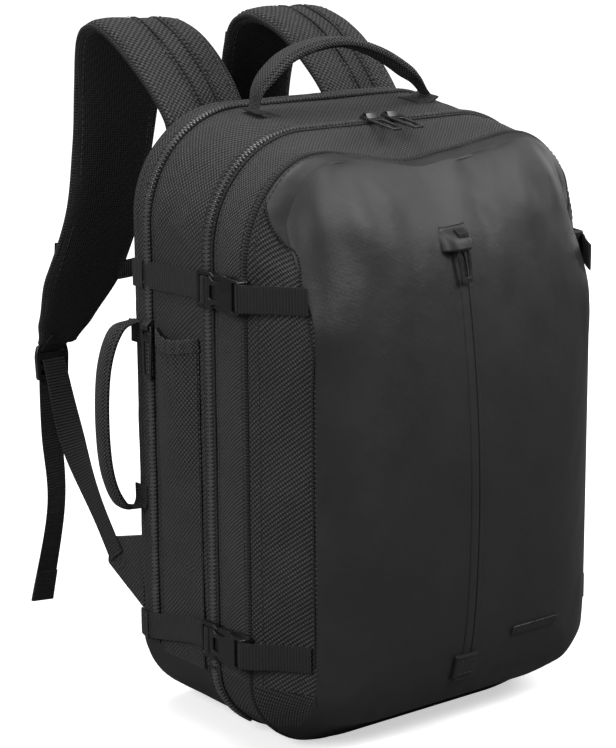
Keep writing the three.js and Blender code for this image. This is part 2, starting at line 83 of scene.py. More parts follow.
# ---------------------------------------------------------------- sizes read from the frame
TAPE_LIFT = 1.4 * MM
TAPE = 6 * MM
LAP = 1.6 * MM
HALF_WIDTH = high("main_shell", X)
ZIP_Y = (low("main_zip_rear", Y) + high("main_zip_front", Y)) / 2
ZIP_TOP = high("main_zip_front", Z) - TAPE_LIFT
LAPTOP_ZIP_Y = middle("laptop_zip", Y)
BACK_Y = high("back_panel", Y)
REAR_EDGE_Y = high("laptop_band", Y)
PIPING_Y = middle("piping", Y)
TRAY_TOP = high("base_tray", Z)
ROOF_SLOPE = (high("laptop_band", Z) - ZIP_TOP) / (REAR_EDGE_Y - 7 * MM - ZIP_Y)
BASE_RADIUS = TRAY_TOP
CROWN_RADIUS = 80 * MM
FLOOR_BEND = 90 * MM
TUCK = 11 * MM
CREST_BEND = (312 * MM, 406 * MM)
FABRIC = 2 * MM
WEBBING = high("strap_front_upper_left", Z) - low("strap_front_upper_left", Z)

# ---------------------------------------------------------------- sections of the body
# A section is a closed outline round the body. It leans: it has one depth at the sides, one
# on the floor and one at the crest, and each is trimmed in from the full outline.
Section = namedtuple("Section", "side floor crest trim floor_trim crest_trim")
HALF_STEPS = {"floor": 16, "foot": 14, "wall": 110, "crown": 30, "roof": 20}


def section(side, floor=None, crest=None, trim=0.0, floor_trim=None, crest_trim=None):
    return Section(
        side,
        side if floor is None else floor,
        side if crest is None else crest,
        trim,
        trim if floor_trim is None else floor_trim,
        trim if crest_trim is None else crest_trim,
    )


def between(a, b, t):
    return Section(*[p + (q - p) * t for p, q in zip(a, b)])


def shifted(a, distance, trimmed=0.0):
    depths = [value + distance for value in a[:3]]
    trims = [value + trimmed for value in a[3:]]
    return Section(*depths, *trims)


def spread(stations, count):
    """Sections at even steps through a row of stations, with the ends kept."""
    places = np.linspace(0, len(stations) - 1, count)
    rows = []
    for place in places:
        k = min(int(place), len(stations) - 2)
        rows.append(between(stations[k], stations[k + 1], place - k))
    return rows


def roof_at(y):
    return ZIP_TOP + ROOF_SLOPE * (y - ZIP_Y)


def smooth(value, start, end):
    t = np.clip((value - start) / (end - start), 0, 1)
    return t * t * (3 - 2 * t)


def depth_at(part, z):
    lean_low = np.maximum(0, 1 - z / FLOOR_BEND) ** 2
    lean_high = smooth(z, *CREST_BEND)
    return part.side + (part.floor - part.side) * lean_low + (part.crest - part.side) * lean_high


def right_half(part):
    """The right half of a section, from the middle of the floor to the middle of the roof."""
    half = HALF_WIDTH - part.trim
    ceiling = roof_at(part.crest) - part.crest_trim
    foot_across = max(BASE_RADIUS - part.trim, 4 * MM)
    foot_up = max(BASE_RADIUS - part.floor_trim, 4 * MM)
    crown = max(CROWN_RADIUS - part.trim, 4 * MM)
    t = {key: np.linspace(0, 1, n + 1) for key, n in HALF_STEPS.items()}
    foot = t["foot"][1:] * math.pi / 2
    turn = t["crown"][1:] * math.pi / 2
    x = np.concatenate([
        (half - foot_across) * t["floor"],
        half - foot_across * (1 - np.sin(foot)),
        np.full(len(t["wall"]), half),
        half - crown * (1 - np.cos(turn)),
        (half - crown) * (1 - t["roof"][1:]),
    ])
    z = np.concatenate([
        np.full(len(t["floor"]), part.floor_trim),
        part.floor_trim + foot_up * (1 - np.cos(foot)),
        TRAY_TOP + (ceiling - crown - TRAY_TOP) * t["wall"],
        ceiling - crown * (1 - np.sin(turn)),
        np.full(len(t["roof"]) - 1, ceiling),
    ])
    return tucked(np.stack([x, depth_at(part, z), z], axis=1))


def tucked(points):
    """The stuffed base is rounder than its pattern: the floor lifts towards both sides."""
    wide = smooth(np.abs(points[..., X]), 0.45 * HALF_WIDTH, HALF_WIDTH)
    near_floor = 1 - smooth(points[..., Z], 15 * MM, 110 * MM)
    return points + (TUCK * wide * near_floor)[..., None] * [0, 0, 1]


def mirrored(points):
    return (points * [-1, 1, 1])[::-1]


WALL_START = HALF_STEPS["floor"] + HALF_STEPS["foot"] + 1


def over_the_top(part):
    half = right_half(part)[WALL_START:]
    return np.concatenate([half, mirrored(half[:-1])])


def under_the_floor(part):
    half = right_half(part)[:WALL_START]
    return np.concatenate([mirrored(half[1:]), half])


# ---------------------------------------------------------------- mesh building
def unit(vectors):
    length = np.linalg.norm(vectors, axis=-1, keepdims=True)
    return vectors / np.maximum(length, 1e-12)


def grid_normals(grid):
    along = np.gradient(grid, axis=1)
    down = np.gradient(grid, axis=0)
    return unit(np.cross(along, down))


def arc_lengths(points):
    gaps = np.linalg.norm(np.diff(points, axis=0), axis=1)
    return np.concatenate([[0], np.cumsum(gaps)])


def cloth_lengths(grid):
    """Cloth coordinates of a grid: lengths along its rows and columns, from its middle."""
    rows, cols = grid.shape[:2]
    across = np.array([arc_lengths(row) for row in grid])
    down = np.array([arc_lengths(column) for column in grid.swapaxes(0, 1)]).T
    across = across - across[:, cols // 2, None]
    down = down - down[rows // 2]
    return np.stack([across, down], axis=-1)


def resample(points, count):
    """Evenly spaced points on a smooth curve through the given ones."""
    points = np.asarray(points, float)
    padded = np.concatenate([[2 * points[0] - points[1]], points, [2 * points[-1] - points[-2]]])
    fine = []
    for a, b, c, d in zip(padded, padded[1:], padded[2:], padded[3:]):
        t = np.linspace(0, 1, 24, endpoint=False)[:, None]
        fine.append(0.5 * (2 * b + (c - a) * t + (2 * a - 5 * b + 4 * c - d) * t**2
                           + (3 * b - a - 3 * c + d) * t**3))
    fine = np.concatenate([*fine, [points[-1]]])
    return evenly(fine, count)


def sampled(values, lengths, places):
    """Values given at some lengths along a line, read at other places along it."""
    return np.stack([np.interp(places, lengths, column) for column in values.T], axis=-1)


def evenly(points, count):
    lengths = arc_lengths(points)
    return sampled(points, lengths, np.linspace(0, lengths[-1], count))


def grid_faces(rows, cols, closed=False):
    i, j = np.meshgrid(np.arange(rows - 1), np.arange(cols if closed else cols - 1),
                       indexing="ij")
    i, j = i.ravel(), j.ravel()
    k = (j + 1) % cols
    corners = np.stack([i * cols + j, i * cols + k, (i + 1) * cols + k, (i + 1) * cols + j])
    return corners.T.tolist()


class Shape:
    """Gathers points, faces and cloth coordinates, then makes one piece of them."""

    def __init__(self):
        self.points = []
        self.coords = []
        self.faces = []
        self.slots = []
        self.count = 0

    def add(self, points, faces, coords=None, slot=0):
        points = np.asarray(points, float).reshape(-1, 3)
        coords = points[:, :2] if coords is None else np.asarray(coords).reshape(-1, 2)
        self.points.append(points)
        self.coords.append(coords)
        self.faces += [[k + self.count for k in face] for face in faces]
        self.slots += list(slot) if np.ndim(slot) else [slot] * len(faces)
        self.count += len(points)

    def sheet(self, grid, thick=FABRIC, slot=0):
        """A sheet of cloth whose outer face is a grid of points. slot may be one per face."""
        rows, cols = grid.shape[:2]
        inner = grid - grid_normals(grid) * thick
        coords = cloth_lengths(grid)
        faces = grid_faces(rows, cols)
        size = rows * cols
        back = [[k + size for k in reversed(face)] for face in faces]
        rim = np.concatenate([
            np.arange(cols),
            np.arange(2, rows + 1) * cols - 1,
            np.arange(rows * cols - 2, (rows - 1) * cols - 1, -1),
            np.arange(rows - 2, 0, -1) * cols,
        ]).tolist()
        edge = [[b, a, a + size, b + size] for a, b in zip(rim, rim[1:] + rim[:1])]
        slots = list(slot) if np.ndim(slot) else [slot] * len(faces)
        self.add(np.stack([grid, inner]), faces + back + edge, np.stack([coords, coords]),
                 slots + slots + [slots[0]] * len(edge))

    def sweep(self, path, side, profile, slot=0, up=None):
        """A closed profile (side, up), or one per point, swept along a path and lidded."""
        tangent = unit(np.gradient(path, axis=0))
        side = np.broadcast_to(side, path.shape)
        if up is None:
            up = unit(np.cross(side, tangent))
            side = unit(np.cross(tangent, up))
        rings = np.broadcast_to(profile, (len(path), *np.shape(profile)[-2:]))
        points = path[:, None] + side[:, None] * rings[..., :1] + up[:, None] * rings[..., 1:]
        rows, cols = points.shape[:2]
        round_about = arc_lengths(points[rows // 2])
        coords = np.stack(np.meshgrid(round_about, arc_lengths(path)), axis=-1)[..., ::-1]
        faces = grid_faces(rows, cols, closed=True)
        faces.append(list(range(cols)))
        faces.append([(rows - 1) * cols + k for k in reversed(range(cols))])
        self.add(points, faces, coords, slot)

    def piece(self, name, *materials):
        mesh = bpy.data.meshes.new(name)
        mesh.from_pydata(np.concatenate(self.points).tolist(), [], self.faces)
        for material in materials:
            mesh.materials.append(material)
        mesh.polygons.foreach_set("material_index", self.slots)
        mesh.polygons.foreach_set("use_smooth", [True] * len(self.faces))
        corner = np.zeros(len(mesh.loops), np.int32)
        mesh.loops.foreach_get("vertex_index", corner)
        layer = mesh.uv_layers.new(name="cloth")
        layer.data.foreach_set("uv", np.concatenate(self.coords)[corner].ravel())
        mesh.validate()
        mesh.update()
        thing = bpy.data.objects.new(name, mesh)
        bpy.context.scene.collection.objects.link(thing)
        fold = thing.modifiers.new("sharp folds", "EDGE_SPLIT")
        fold.split_angle = math.radians(50)
        return thing


def around(sides):
    """The cosines and sines of even turns round a circle."""
    turn = np.linspace(0, 2 * math.pi, sides, endpoint=False)
    return np.cos(turn), np.sin(turn)


def rooted(value, power):
    return np.sign(value) * np.abs(value) ** power


def round_profile(radius, sides=10):
    return np.stack(around(sides), axis=1) * radius


def flat_profile(width, thick, power=4.0, sides=20):
    """A flat, round-edged profile: the higher the power, the squarer it is."""
    across, up = around(sides)
    squareness = 2 / power
    return np.stack([rooted(across, squareness) * width / 2,
                     rooted(up, squareness) * thick / 2], axis=1)


def band_profile(width=None, thick=1.4 * MM):
    """Webbing: as wide as the frame's, if no width is given."""
    return flat_profile(WEBBING if width is None else width, thick, 6)


def settle(thing, body, slot, *nodes):
    """The piece rides on a body and stands for some nodes. The slot is not used."""
    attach(thing, body)
    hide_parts(*nodes)
    return thing


def hinge_over(thing, bodies, start, end, slot, *nodes):
    """The piece stays where it is and stands for some nodes. The bodies are not used."""
    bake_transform(thing)
    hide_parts(*nodes)
    return thing


# ---------------------------------------------------------------- soft relief
def ripples(points, size, seed, count=7):
    """A smooth field between about -1 and 1 whose bumps are about the given size."""
    chance = np.random.default_rng(seed)
    total = np.zeros(points.shape[:-1])
    for _ in range(count):
        direction = unit(chance.normal(size=3)) * 2 * math.pi / size
        direction = direction * chance.uniform(0.6, 1.5)
        total += np.sin(points @ direction + chance.uniform(0, 2 * math.pi))
    return total / math.sqrt(count) / 1.3


def bulge(rows, amount, power=0.6):
    """Cloth swells between two seams and is held at both."""
    t = np.linspace(0, 1, rows)
    return (amount * np.sin(math.pi * t) ** power)[:, None]


def strap_pull(points, amount):
    """The compression straps pull the side walls in along their own lines."""
    pull = 0
    for row in ("upper", "lower"):
        away = (points[..., Z] - middle(f"strap_rear_{row}_left", Z)) / (20 * MM)
        pull = pull + np.exp(-away**2)
    return -amount * pull * (np.abs(points[..., X]) > 0.8 * HALF_WIDTH)


def raised(grid, height):
    return grid + grid_normals(grid) * np.asarray(height)[..., None]


def loop_grid(stations, region, rows):
    return np.stack([region(part) for part in spread(stations, rows)])


# ---------------------------------------------------------------- materials
class Look:
    """A procedural material: small helpers over its node tree."""

    def __init__(self, name, roughness=0.8, specular=0.4, sheen=0.0):
        self.material = bpy.data.materials.new(name)
        self.material.use_nodes = True
        self.nodes = self.material.node_tree.nodes
        self.links = self.material.node_tree.links
        self.shader = self.nodes["Principled BSDF"]
        self.shader.inputs["Roughness"].default_value = roughness
        self.shader.inputs["Specular IOR Level"].default_value = specular
        self.shader.inputs["Sheen Weight"].default_value = sheen
        self.shader.inputs["Sheen Roughness"].default_value = 0.5

    def node(self, kind, inputs=None, **settings):
        node = self.nodes.new(kind)
        for key, value in settings.items():
            setattr(node, key, value)
        for key, value in (inputs or {}).items():
            if isinstance(value, bpy.types.NodeSocket):
                self.links.new(value, node.inputs[key])
            else:
                node.inputs[key].default_value = value
        return node

    def math(self, operation, a, b=0.0):
        return self.node("ShaderNodeMath", {0: a, 1: b}, operation=operation).outputs[0]

    def cloth_axes(self):
        """Metres along the cloth's two directions."""
        place = self.node("ShaderNodeTexCoord").outputs["UV"]
        split = self.node("ShaderNodeSeparateXYZ", {0: place})
        return split.outputs[0], split.outputs[1]

    def wave(self, distance, period):
        turns = self.math("MULTIPLY", distance, 2 * math.pi / period)
        return self.math("SINE", turns)

    def noise(self, size, detail=3.0, roughness=0.55):
        place = self.node("ShaderNodeTexCoord").outputs["Object"]
        inputs = {"Vector": place, "Scale": 1 / size, "Detail": detail, "Roughness": roughness}
        return self.node("ShaderNodeTexNoise", inputs).outputs["Fac"]

    def stretch(self, value, from_low, from_high, to_low, to_high):
        inputs = {0: value, 1: from_low, 2: from_high, 3: to_low, 4: to_high}
        return self.node("ShaderNodeMapRange", inputs).outputs[0]

    def mottle(self, noise, dark, light):
        """A shade between dark and light that follows a noise."""
        return self.stretch(noise, 0.3, 0.7, dark, light)

    def colour(self, base, *shades):
        """The base colour times each shade, where a shade is a socket near 1."""
        total = shades[0]
        for shade in shades[1:]:
            total = self.math("MULTIPLY", total, shade)
        scaled = self.node("ShaderNodeVectorMath", {0: base, 3: total}, operation="SCALE")
        self.links.new(scaled.outputs[0], self.shader.inputs["Base Color"])

    def relief(self, *heights):
        """Bump from (height socket, distance in metres) pairs, one over the other."""
        normal = None
        for height, distance in heights:
            inputs = {"Height": height, "Distance": distance, "Strength": 1.0}
            if normal is not None:
                inputs["Normal"] = normal
            normal = self.node("ShaderNodeBump", inputs).outputs[0]
        self.links.new(normal, self.shader.inputs["Normal"])

    def edge_wear_and_shade(self, amount):
        """A shade that is lighter along edges, as rubbed wear, and a little darker in folds, as
        painted shade.
        """
        pointed = self.node("ShaderNodeNewGeometry").outputs["Pointiness"]
        return self.stretch(pointed, 0.47, 0.56, 1 - amount * 0.4, 1 + amount)

    def rough(self, value):
        self.links.new(value, self.shader.inputs["Roughness"])


def twill_look(name, base, yarn=2.1 * MM):
    """A heavy basket of thick yarns with a diagonal run."""
    look = Look(name, roughness=0.6, specular=0.5, sheen=0.03)
    u, v = look.cloth_axes()
    basket = look.math("MULTIPLY", look.wave(u, 1.7 * yarn), look.wave(v, 1.7 * yarn))
    run = look.wave(look.math("ADD", u, v), 1.7 * yarn)
    weave = look.math("ADD", basket, look.math("MULTIPLY", run, 0.25))
    patch = look.noise(40 * MM)
    fuzz = look.noise(1.2 * MM, detail=1)
    look.colour(base, look.stretch(weave, -0.6, 0.9, 0.15, 3.2),
                look.mottle(patch, 0.85, 1.18),
                look.mottle(fuzz, 0.7, 1.35))
    look.relief((patch, 2.5 * MM), (weave, 0.5 * MM), (fuzz, 0.2 * MM))
    look.rough(look.stretch(weave, -0.8, 0.9, 0.85, 0.45))
    return look.material


def coated_look(name, base):
    """Smooth cloth with a satin coating: a very fine grain and soft, worn patches."""
    look = Look(name, roughness=0.5, specular=0.5)
    u, v = look.cloth_axes()
    thread = look.math("ADD", look.wave(u, 0.9 * MM), look.wave(v, 0.9 * MM))
    grain = look.noise(0.9 * MM, detail=2)
    patch = look.noise(70 * MM, detail=4)
    cloud = look.noise(14 * MM, detail=3)
    look.colour(base, look.mottle(patch, 0.9, 1.12),
                look.mottle(cloud, 0.95, 1.06),
                look.stretch(grain, 0.25, 0.75, 0.9, 1.1))
    look.relief((cloud, 0.5 * MM), (thread, 0.02 * MM), (grain, 0.05 * MM))
    look.rough(look.mottle(patch, 0.43, 0.54))
    return look.material


def webbing_look(name, base):
    """Woven webbing: ribs across the band and fine lines of yarn along it."""
    look = Look(name, roughness=0.68, specular=0.4, sheen=0.05)
    u, v = look.cloth_axes()
    rib = look.wave(u, 2.3 * MM)
    yarn = look.wave(v, 1.0 * MM)
    weave = look.math("ADD", rib, look.math("MULTIPLY", yarn, 0.35))
    fuzz = look.noise(1.0 * MM, detail=1)
    look.colour(base, look.stretch(weave, -1.1, 1.1, 0.55, 1.6),
                look.mottle(fuzz, 0.85, 1.15))
    look.relief((weave, 0.3 * MM), (fuzz, 0.1 * MM))
    return look.material


def air_mesh_look(name, base):
    """Open spacer mesh: rows of small holes over a padded base."""
    look = Look(name, roughness=0.9, specular=0.25, sheen=0.1)
    u, v = look.cloth_axes()
    pitch = 3.6 * MM
    holes = look.math("MULTIPLY", look.wave(u, pitch), look.wave(v, pitch))
    slant = look.wave(look.math("ADD", u, v), 2 * pitch)
    net = look.math("ADD", look.math("ABSOLUTE", holes), look.math("MULTIPLY", slant, 0.15))
    fuzz = look.noise(1.5 * MM, detail=1)
    look.colour(base, look.stretch(net, 0.0, 0.8, 1.7, 0.35),
                look.mottle(fuzz, 0.85, 1.15))
    look.relief((look.math("SUBTRACT", 1.0, net), 0.6 * MM))
    return look.material


def lining_look(name, base):
    look = Look(name, roughness=0.65, specular=0.35)
    u, v = look.cloth_axes()
    threads = look.math("MULTIPLY", look.wave(u, 1.2 * MM), look.wave(v, 1.2 * MM))
    patch = look.noise(30 * MM)
    look.colour(base, look.stretch(threads, -1, 1, 0.8, 1.2),
                look.mottle(patch, 0.85, 1.15))
    look.relief((patch, 1.5 * MM), (threads, 0.08 * MM))
    return look.material


def moulded_look(name, base, roughness=0.4):
    """Moulded plastic: a fine spark texture, rubbed lighter along its edges, with painted shade in
    its folds.
    """
    look = Look(name, roughness=roughness, specular=0.5)
    spark = look.noise(0.35 * MM, detail=1)
    smear = look.noise(9 * MM, detail=4)
    look.colour(base, look.edge_wear_and_shade(0.9), look.mottle(smear, 0.85, 1.2))
    look.relief((spark, 0.03 * MM))
    look.rough(look.mottle(smear, roughness - 0.07, roughness + 0.1))
    return look.material


def thread_look(name, base):
    look = Look(name, roughness=0.55, specular=0.4, sheen=0.2)
    twist = look.wave(look.cloth_axes()[0], 0.6 * MM)
    look.colour(base, look.stretch(twist, -1, 1, 0.75, 1.25))
    look.relief((twist, 0.05 * MM))
    return look.material


FLOOR_GLOW = 0.55
FLOOR_FADE = (0.7, 2.2)
FLOOR_REACH = 14.0
FLOOR_SHADE = 0.16


def floor_look():
    """Pale paper: white to the camera, but darker to the light that bounces off it."""
    look = Look("pale floor", roughness=0.7, specular=0.2)
    grain = look.noise(0.2, detail=2)
    seen = look.node("ShaderNodeLightPath").outputs["Is Camera Ray"]
    look.colour((0.93, 0.93, 0.93), look.mottle(grain, 0.99, 1.01),
                look.stretch(seen, 0, 1, FLOOR_SHADE, 1))
    look.shader.inputs["Emission Color"].default_value = (1, 1, 1, 1)
    place = look.node("ShaderNodeNewGeometry").outputs["Position"]
    away = look.node("ShaderNodeVectorMath", {0: place}, operation="LENGTH").outputs["Value"]
    glow = look.math("MULTIPLY", seen, look.stretch(away, *FLOOR_FADE, FLOOR_GLOW, 1.0))
    look.links.new(glow, look.shader.inputs["Emission Strength"])
    return look.material


twill = twill_look("twill", (0.0125, 0.0125, 0.0135))
band_twill = twill_look("band twill", (0.0155, 0.0155, 0.0165), yarn=1.7 * MM)
coated = coated_look("coated cloth", (0.0175, 0.0175, 0.019))
webbing = webbing_look("webbing", (0.0075, 0.0075, 0.008))
air_mesh = air_mesh_look("air mesh", (0.0055, 0.0055, 0.006))
lining = lining_look("lining", (0.012, 0.012, 0.0135))
# Zip tape, darkened as painted shade round the teeth; this dark finish also makes thin strips that
# paint shade lines at creases, seams and edges.
tape_and_painted_shade = webbing_look("zip tape and painted shade lines", (0.0045, 0.0045, 0.005))
# The zip coil is much lighter than the rest: its colour is a painted highlight on the teeth.
coil_with_painted_glint = moulded_look("zip coil", (0.11, 0.11, 0.115), roughness=0.24)
plastic = moulded_look("buckle plastic", (0.014, 0.014, 0.0145), roughness=0.26)
badge_plastic = moulded_look("badge plastic", (0.009, 0.009, 0.0095), roughness=0.3)
thread = thread_look("thread", (0.010, 0.010, 0.011))

# ---------------------------------------------------------------- stitching and zips
# All stitches that move with one body are one piece.
stitches = {REAR: Shape(), COVER: Shape()}
STITCH_TURNS = np.radians([0, 60, 120, 180])
STITCH_TIP = 0.15


def sew(body, path, out, length=3.4 * MM, gap=1.4 * MM, size=0.45 * MM):
    """A row of thread stitches along a path, half sunk in the cloth."""
    step = length + gap
    lengths = arc_lengths(path)
    count = int(lengths[-1] / step)
    if count < 1:
        return
    starts = np.arange(count) * step + gap
    heads = sampled(path, lengths, starts)
    tails = sampled(path, lengths, starts + length)
    lifts = unit(sampled(np.broadcast_to(out, path.shape), lengths, starts))
    faces = [[r * 4 + k + 1, r * 4 + k, r * 4 + k + 4, r * 4 + k + 5]
             for r in range(3) for k in range(3)]
    coords = np.repeat([[0, 0], [size, 0], [length - size, 0], [length, 0]], 4, axis=0)
    for head, tail, up in zip(heads, tails, lifts):
        along = unit(tail - head)
        side = np.cross(along, up)
        rings = ((head, STITCH_TIP), (head + along * size, 1), (tail - along * size, 1),
                 (tail, STITCH_TIP))
        ends = [centre + (side * math.cos(turn) + up * math.sin(turn)) * size * reach
                for centre, reach in rings for turn in STITCH_TURNS]
        stitches[body].add(np.array(ends), faces, coords)


# A tooth is four rings in a row, each a place across the zip and a size.
TOOTH_PITCH = 3.0 * MM
TOOTH_REACH = [(-1.8 * MM, 0.5), (-1.0 * MM, 1.0), (2.2 * MM, 1.0), (3.8 * MM, 0.7)]
TOOTH_RING = np.array([(-0.8, 0), (-0.48, 1.7), (0.48, 1.7), (0.8, 0)]) * MM
TOOTH_FACES = [[r * 4 + k, r * 4 + (k + 1) % 4, r * 4 + (k + 1) % 4 + 4, r * 4 + k + 4]
               for r in range(3) for k in range(4)] + [[3, 2, 1, 0], [12, 13, 14, 15]]


def add_teeth(shape, path, out, across, phase, slot):
    """Coil teeth along one edge of a zip: each is a small rounded bar across the line."""
    lengths = arc_lengths(path)
    places = (np.arange(int(lengths[-1] / TOOTH_PITCH) - 1) + 0.5 + phase) * TOOTH_PITCH
    centres = sampled(path, lengths, places)
    ups = unit(sampled(out, lengths, places))
    sides = unit(sampled(across, lengths, places))
    alongs = unit(np.cross(ups, sides))
    for centre, up, side, along in zip(centres, ups, sides, alongs):
        points = [centre + side * s + along * a * size + up * b * size
                  for s, size in TOOTH_REACH for a, b in TOOTH_RING]
        shape.add(points, TOOTH_FACES, slot=slot)


def zip_line(station, region):
    """The points, outward directions and rearward directions along a zip's centre line."""
    rows = np.stack([region(shifted(station, d)) for d in (MM, 0, -MM)])
    return rows[1], grid_normals(rows)[1], unit(rows[0] - rows[2])


def add_tape(shape, station, region, side, reach, clear, slot=0):
    """One tape of a zip: side is 1 for the rear tape and -1 for the front one."""
    edges = sorted([side * reach, side * clear], reverse=True)
    stations = [shifted(station, edge, -TAPE_LIFT) for edge in edges]
    shape.sheet(loop_grid(stations, region, 4), 1 * MM, slot)


def add_tape_teeth(shape, station, region, side, slot=1):
    path, out, across = zip_line(shifted(station, 0, -TAPE_LIFT), region)
    add_teeth(shape, path, out, across * side, (1 - side) / 4, slot)


def sew_line(body, station, region, lift=0.2 * MM):
    path, out, _ = zip_line(station, region)
    sew(body, path + out * lift, out)


def sew_row(body, grid, distance, lift=0.2 * MM):
    """Stitches on the cloth itself, a distance in from the first row, or the last if negative."""
    down = arc_lengths(grid[:, grid.shape[1] // 2])
    place = distance if distance > 0 else down[-1] + distance
    row = np.interp(place, down, np.arange(len(down)))
    k = min(int(row), len(down) - 2)
    normals = grid_normals(grid)
    path = grid[k] + (grid[k + 1] - grid[k]) * (row - k)
    sew(body, path + normals[k] * lift, normals[k])


# ---------------------------------------------------------------- stations along the body
PANEL_TRIM = 24 * MM
EAR_SEAM = (413 * MM, 373 * MM)
LOW_SEAM = (20 * MM, 76 * MM)
PANEL_EDGE_Y = low("front_gusset", Y) - 3.8 * MM
back_edge = section(REAR_EDGE_Y, trim=8 * MM)
rear_band = section(REAR_EDGE_Y - 7 * MM, trim=1 * MM)
laptop_zip = section(LAPTOP_ZIP_Y)
main_zip = section(ZIP_Y)
piping_line = section(PIPING_Y)
front_turn = section(PIPING_Y - 4 * MM)
panel_edge = section(PANEL_EDGE_Y, floor=PANEL_EDGE_Y + 9 * MM, crest=PANEL_EDGE_Y + 33 * MM,
                     trim=PANEL_TRIM, crest_trim=1 * MM)


def swollen(stations, region, rows, swell, folds, seed):
    """A cloth grid between two seams: it swells, ripples, and is drawn in by the straps."""
    grid = loop_grid(stations, region, rows)
    held = np.sin(math.pi * np.linspace(0, 1, rows))[:, None] ** 0.5
    relief = ripples(grid, 55 * MM, seed) * 0.7 + ripples(grid, 18 * MM, seed + 1) * 0.3
    relief = bulge(rows, swell) + folds * relief * held
    return raised(grid, relief + strap_pull(grid, 1.5 * MM) * held)


def rear_cloth():
    shape = Shape()
    stations = [back_edge, rear_band, shifted(laptop_zip, TAPE / 2 - LAP)]
    grid = swollen(stations, over_the_top, 18, 1.2 * MM, 0.5 * MM, 3)
    shape.sheet(grid)
    settle(shape.piece("laptop_band_cloth", twill), REAR, "twill", "laptop_band")
    sew_row(REAR, grid, 15 * MM)
    sew_row(REAR, grid, -4 * MM - LAP)

    shape = Shape()
    stations = [shifted(laptop_zip, LAP - TAPE / 2), shifted(main_zip, TAPE - LAP)]
    grid = swollen(stations, over_the_top, 34, 1.6 * MM, 1.1 * MM, 5)
    shape.sheet(grid)
    settle(shape.piece("main_shell_cloth", twill), REAR, "twill", "main_shell")
    sew_row(REAR, grid, -3 * MM - LAP)
    sew_row(REAR, grid, 3 * MM + LAP)


def edge_binding():
    """The rolled binding where the back panel meets the body."""
    shape = Shape()
    loop = np.concatenate([over_the_top(back_edge), under_the_floor(back_edge)[1:-1]])
    path = evenly(np.concatenate([loop, loop[:1]]), 420)
    shape.sweep(path, BACK, flat_profile(7 * MM, 5 * MM, 2.4, 12))
    settle(shape.piece("back_edge_binding", webbing), REAR, "webbing")


SLUMP = 13 * MM


def slumped(points):
    """The unpadded crest of the cover sags between its corners, most of all in the middle."""
    x, y, z = points[..., X], points[..., Y], points[..., Z]
    wide = 1 - smooth(np.abs(x), 25 * MM, 130 * MM)
    middle_dip = np.exp(-((x + 8 * MM) / (26 * MM)) ** 2)
    forward = 1 - smooth(y, PIPING_Y + 4 * MM, ZIP_Y - TAPE)
    height = smooth(z, 340 * MM, 425 * MM)
    fall = (SLUMP * wide + 5 * MM * middle_dip) * forward * height
    return points - fall[..., None] * [0, 0, 1]


def zips():
    shape = Shape()
    for side in (1, -1):
        add_tape(shape, laptop_zip, over_the_top, side, TAPE / 2, 0.3 * MM)
        add_tape_teeth(shape, laptop_zip, over_the_top, side)
    settle(shape.piece("laptop_zip_chain", tape_and_painted_shade, coil_with_painted_glint), REAR, "zip_coil", "laptop_zip")

    for name, body, side in (("rear", REAR, 1), ("front", COVER, -1)):
        shape = Shape()
        add_tape(shape, main_zip, over_the_top, side, TAPE, 0.4 * MM)
        add_tape_teeth(shape, main_zip, over_the_top, side)
        piece = shape.piece(f"main_zip_chain_{name}", tape_and_painted_shade, coil_with_painted_glint)
        settle(piece, body, "zip_coil", f"main_zip_{name}")
        sew_line(body, shifted(main_zip, side * (TAPE - 1 * MM), -TAPE_LIFT), over_the_top)


def face_centres(grid):
    return (grid[:-1, :-1] + grid[1:, 1:]) / 2


def cover_cloth():
    shape = Shape()
    stations = [shifted(main_zip, LAP - TAPE), shifted(piping_line, 2 * MM)]
    grid = slumped(swollen(stations, over_the_top, 16, 1.6 * MM, 0.9 * MM, 8))
    shape.sheet(grid)
    settle(shape.piece("cover_band_cloth", band_twill), COVER, "twill", "cover_band")
    sew_row(COVER, grid, 3 * MM + LAP)
    sew_row(COVER, grid, -3 * MM)

    shape = Shape()
    path = slumped(over_the_top(piping_line))
    shape.sweep(path, BACK, round_profile(2.1 * MM, 10))
    settle(shape.piece("piping_cord", webbing), COVER, "webbing", "piping")

    shape = Shape()
    stations = [shifted(piping_line, -2 * MM), shifted(panel_edge, -2.5 * MM, 1.4 * MM)]
    grid = slumped(swollen(stations, over_the_top, 26, 2.2 * MM, 1.1 * MM, 12))
    centres = face_centres(grid)
    share = np.linspace(0, 1, len(centres))[:, None]
    seam_z = EAR_SEAM[0] + (EAR_SEAM[1] - EAR_SEAM[0]) * share
    is_coated = (centres[..., Z] > seam_z) | (centres[..., Z] < low_seam(share))
    shape.sheet(grid, FABRIC, is_coated.astype(int).ravel().tolist())
    settle(shape.piece("gusset_cloth", twill, coated), COVER, "twill", "front_gusset")
    sew_row(COVER, grid, 3 * MM)
    ear_seam(grid)


def low_seam(share):
    """Height where the gusset's twill ends over the base, a share of the way to the panel."""
    return LOW_SEAM[0] + (LOW_SEAM[1] - LOW_SEAM[0]) * (1 - np.sqrt(1 - share**2))


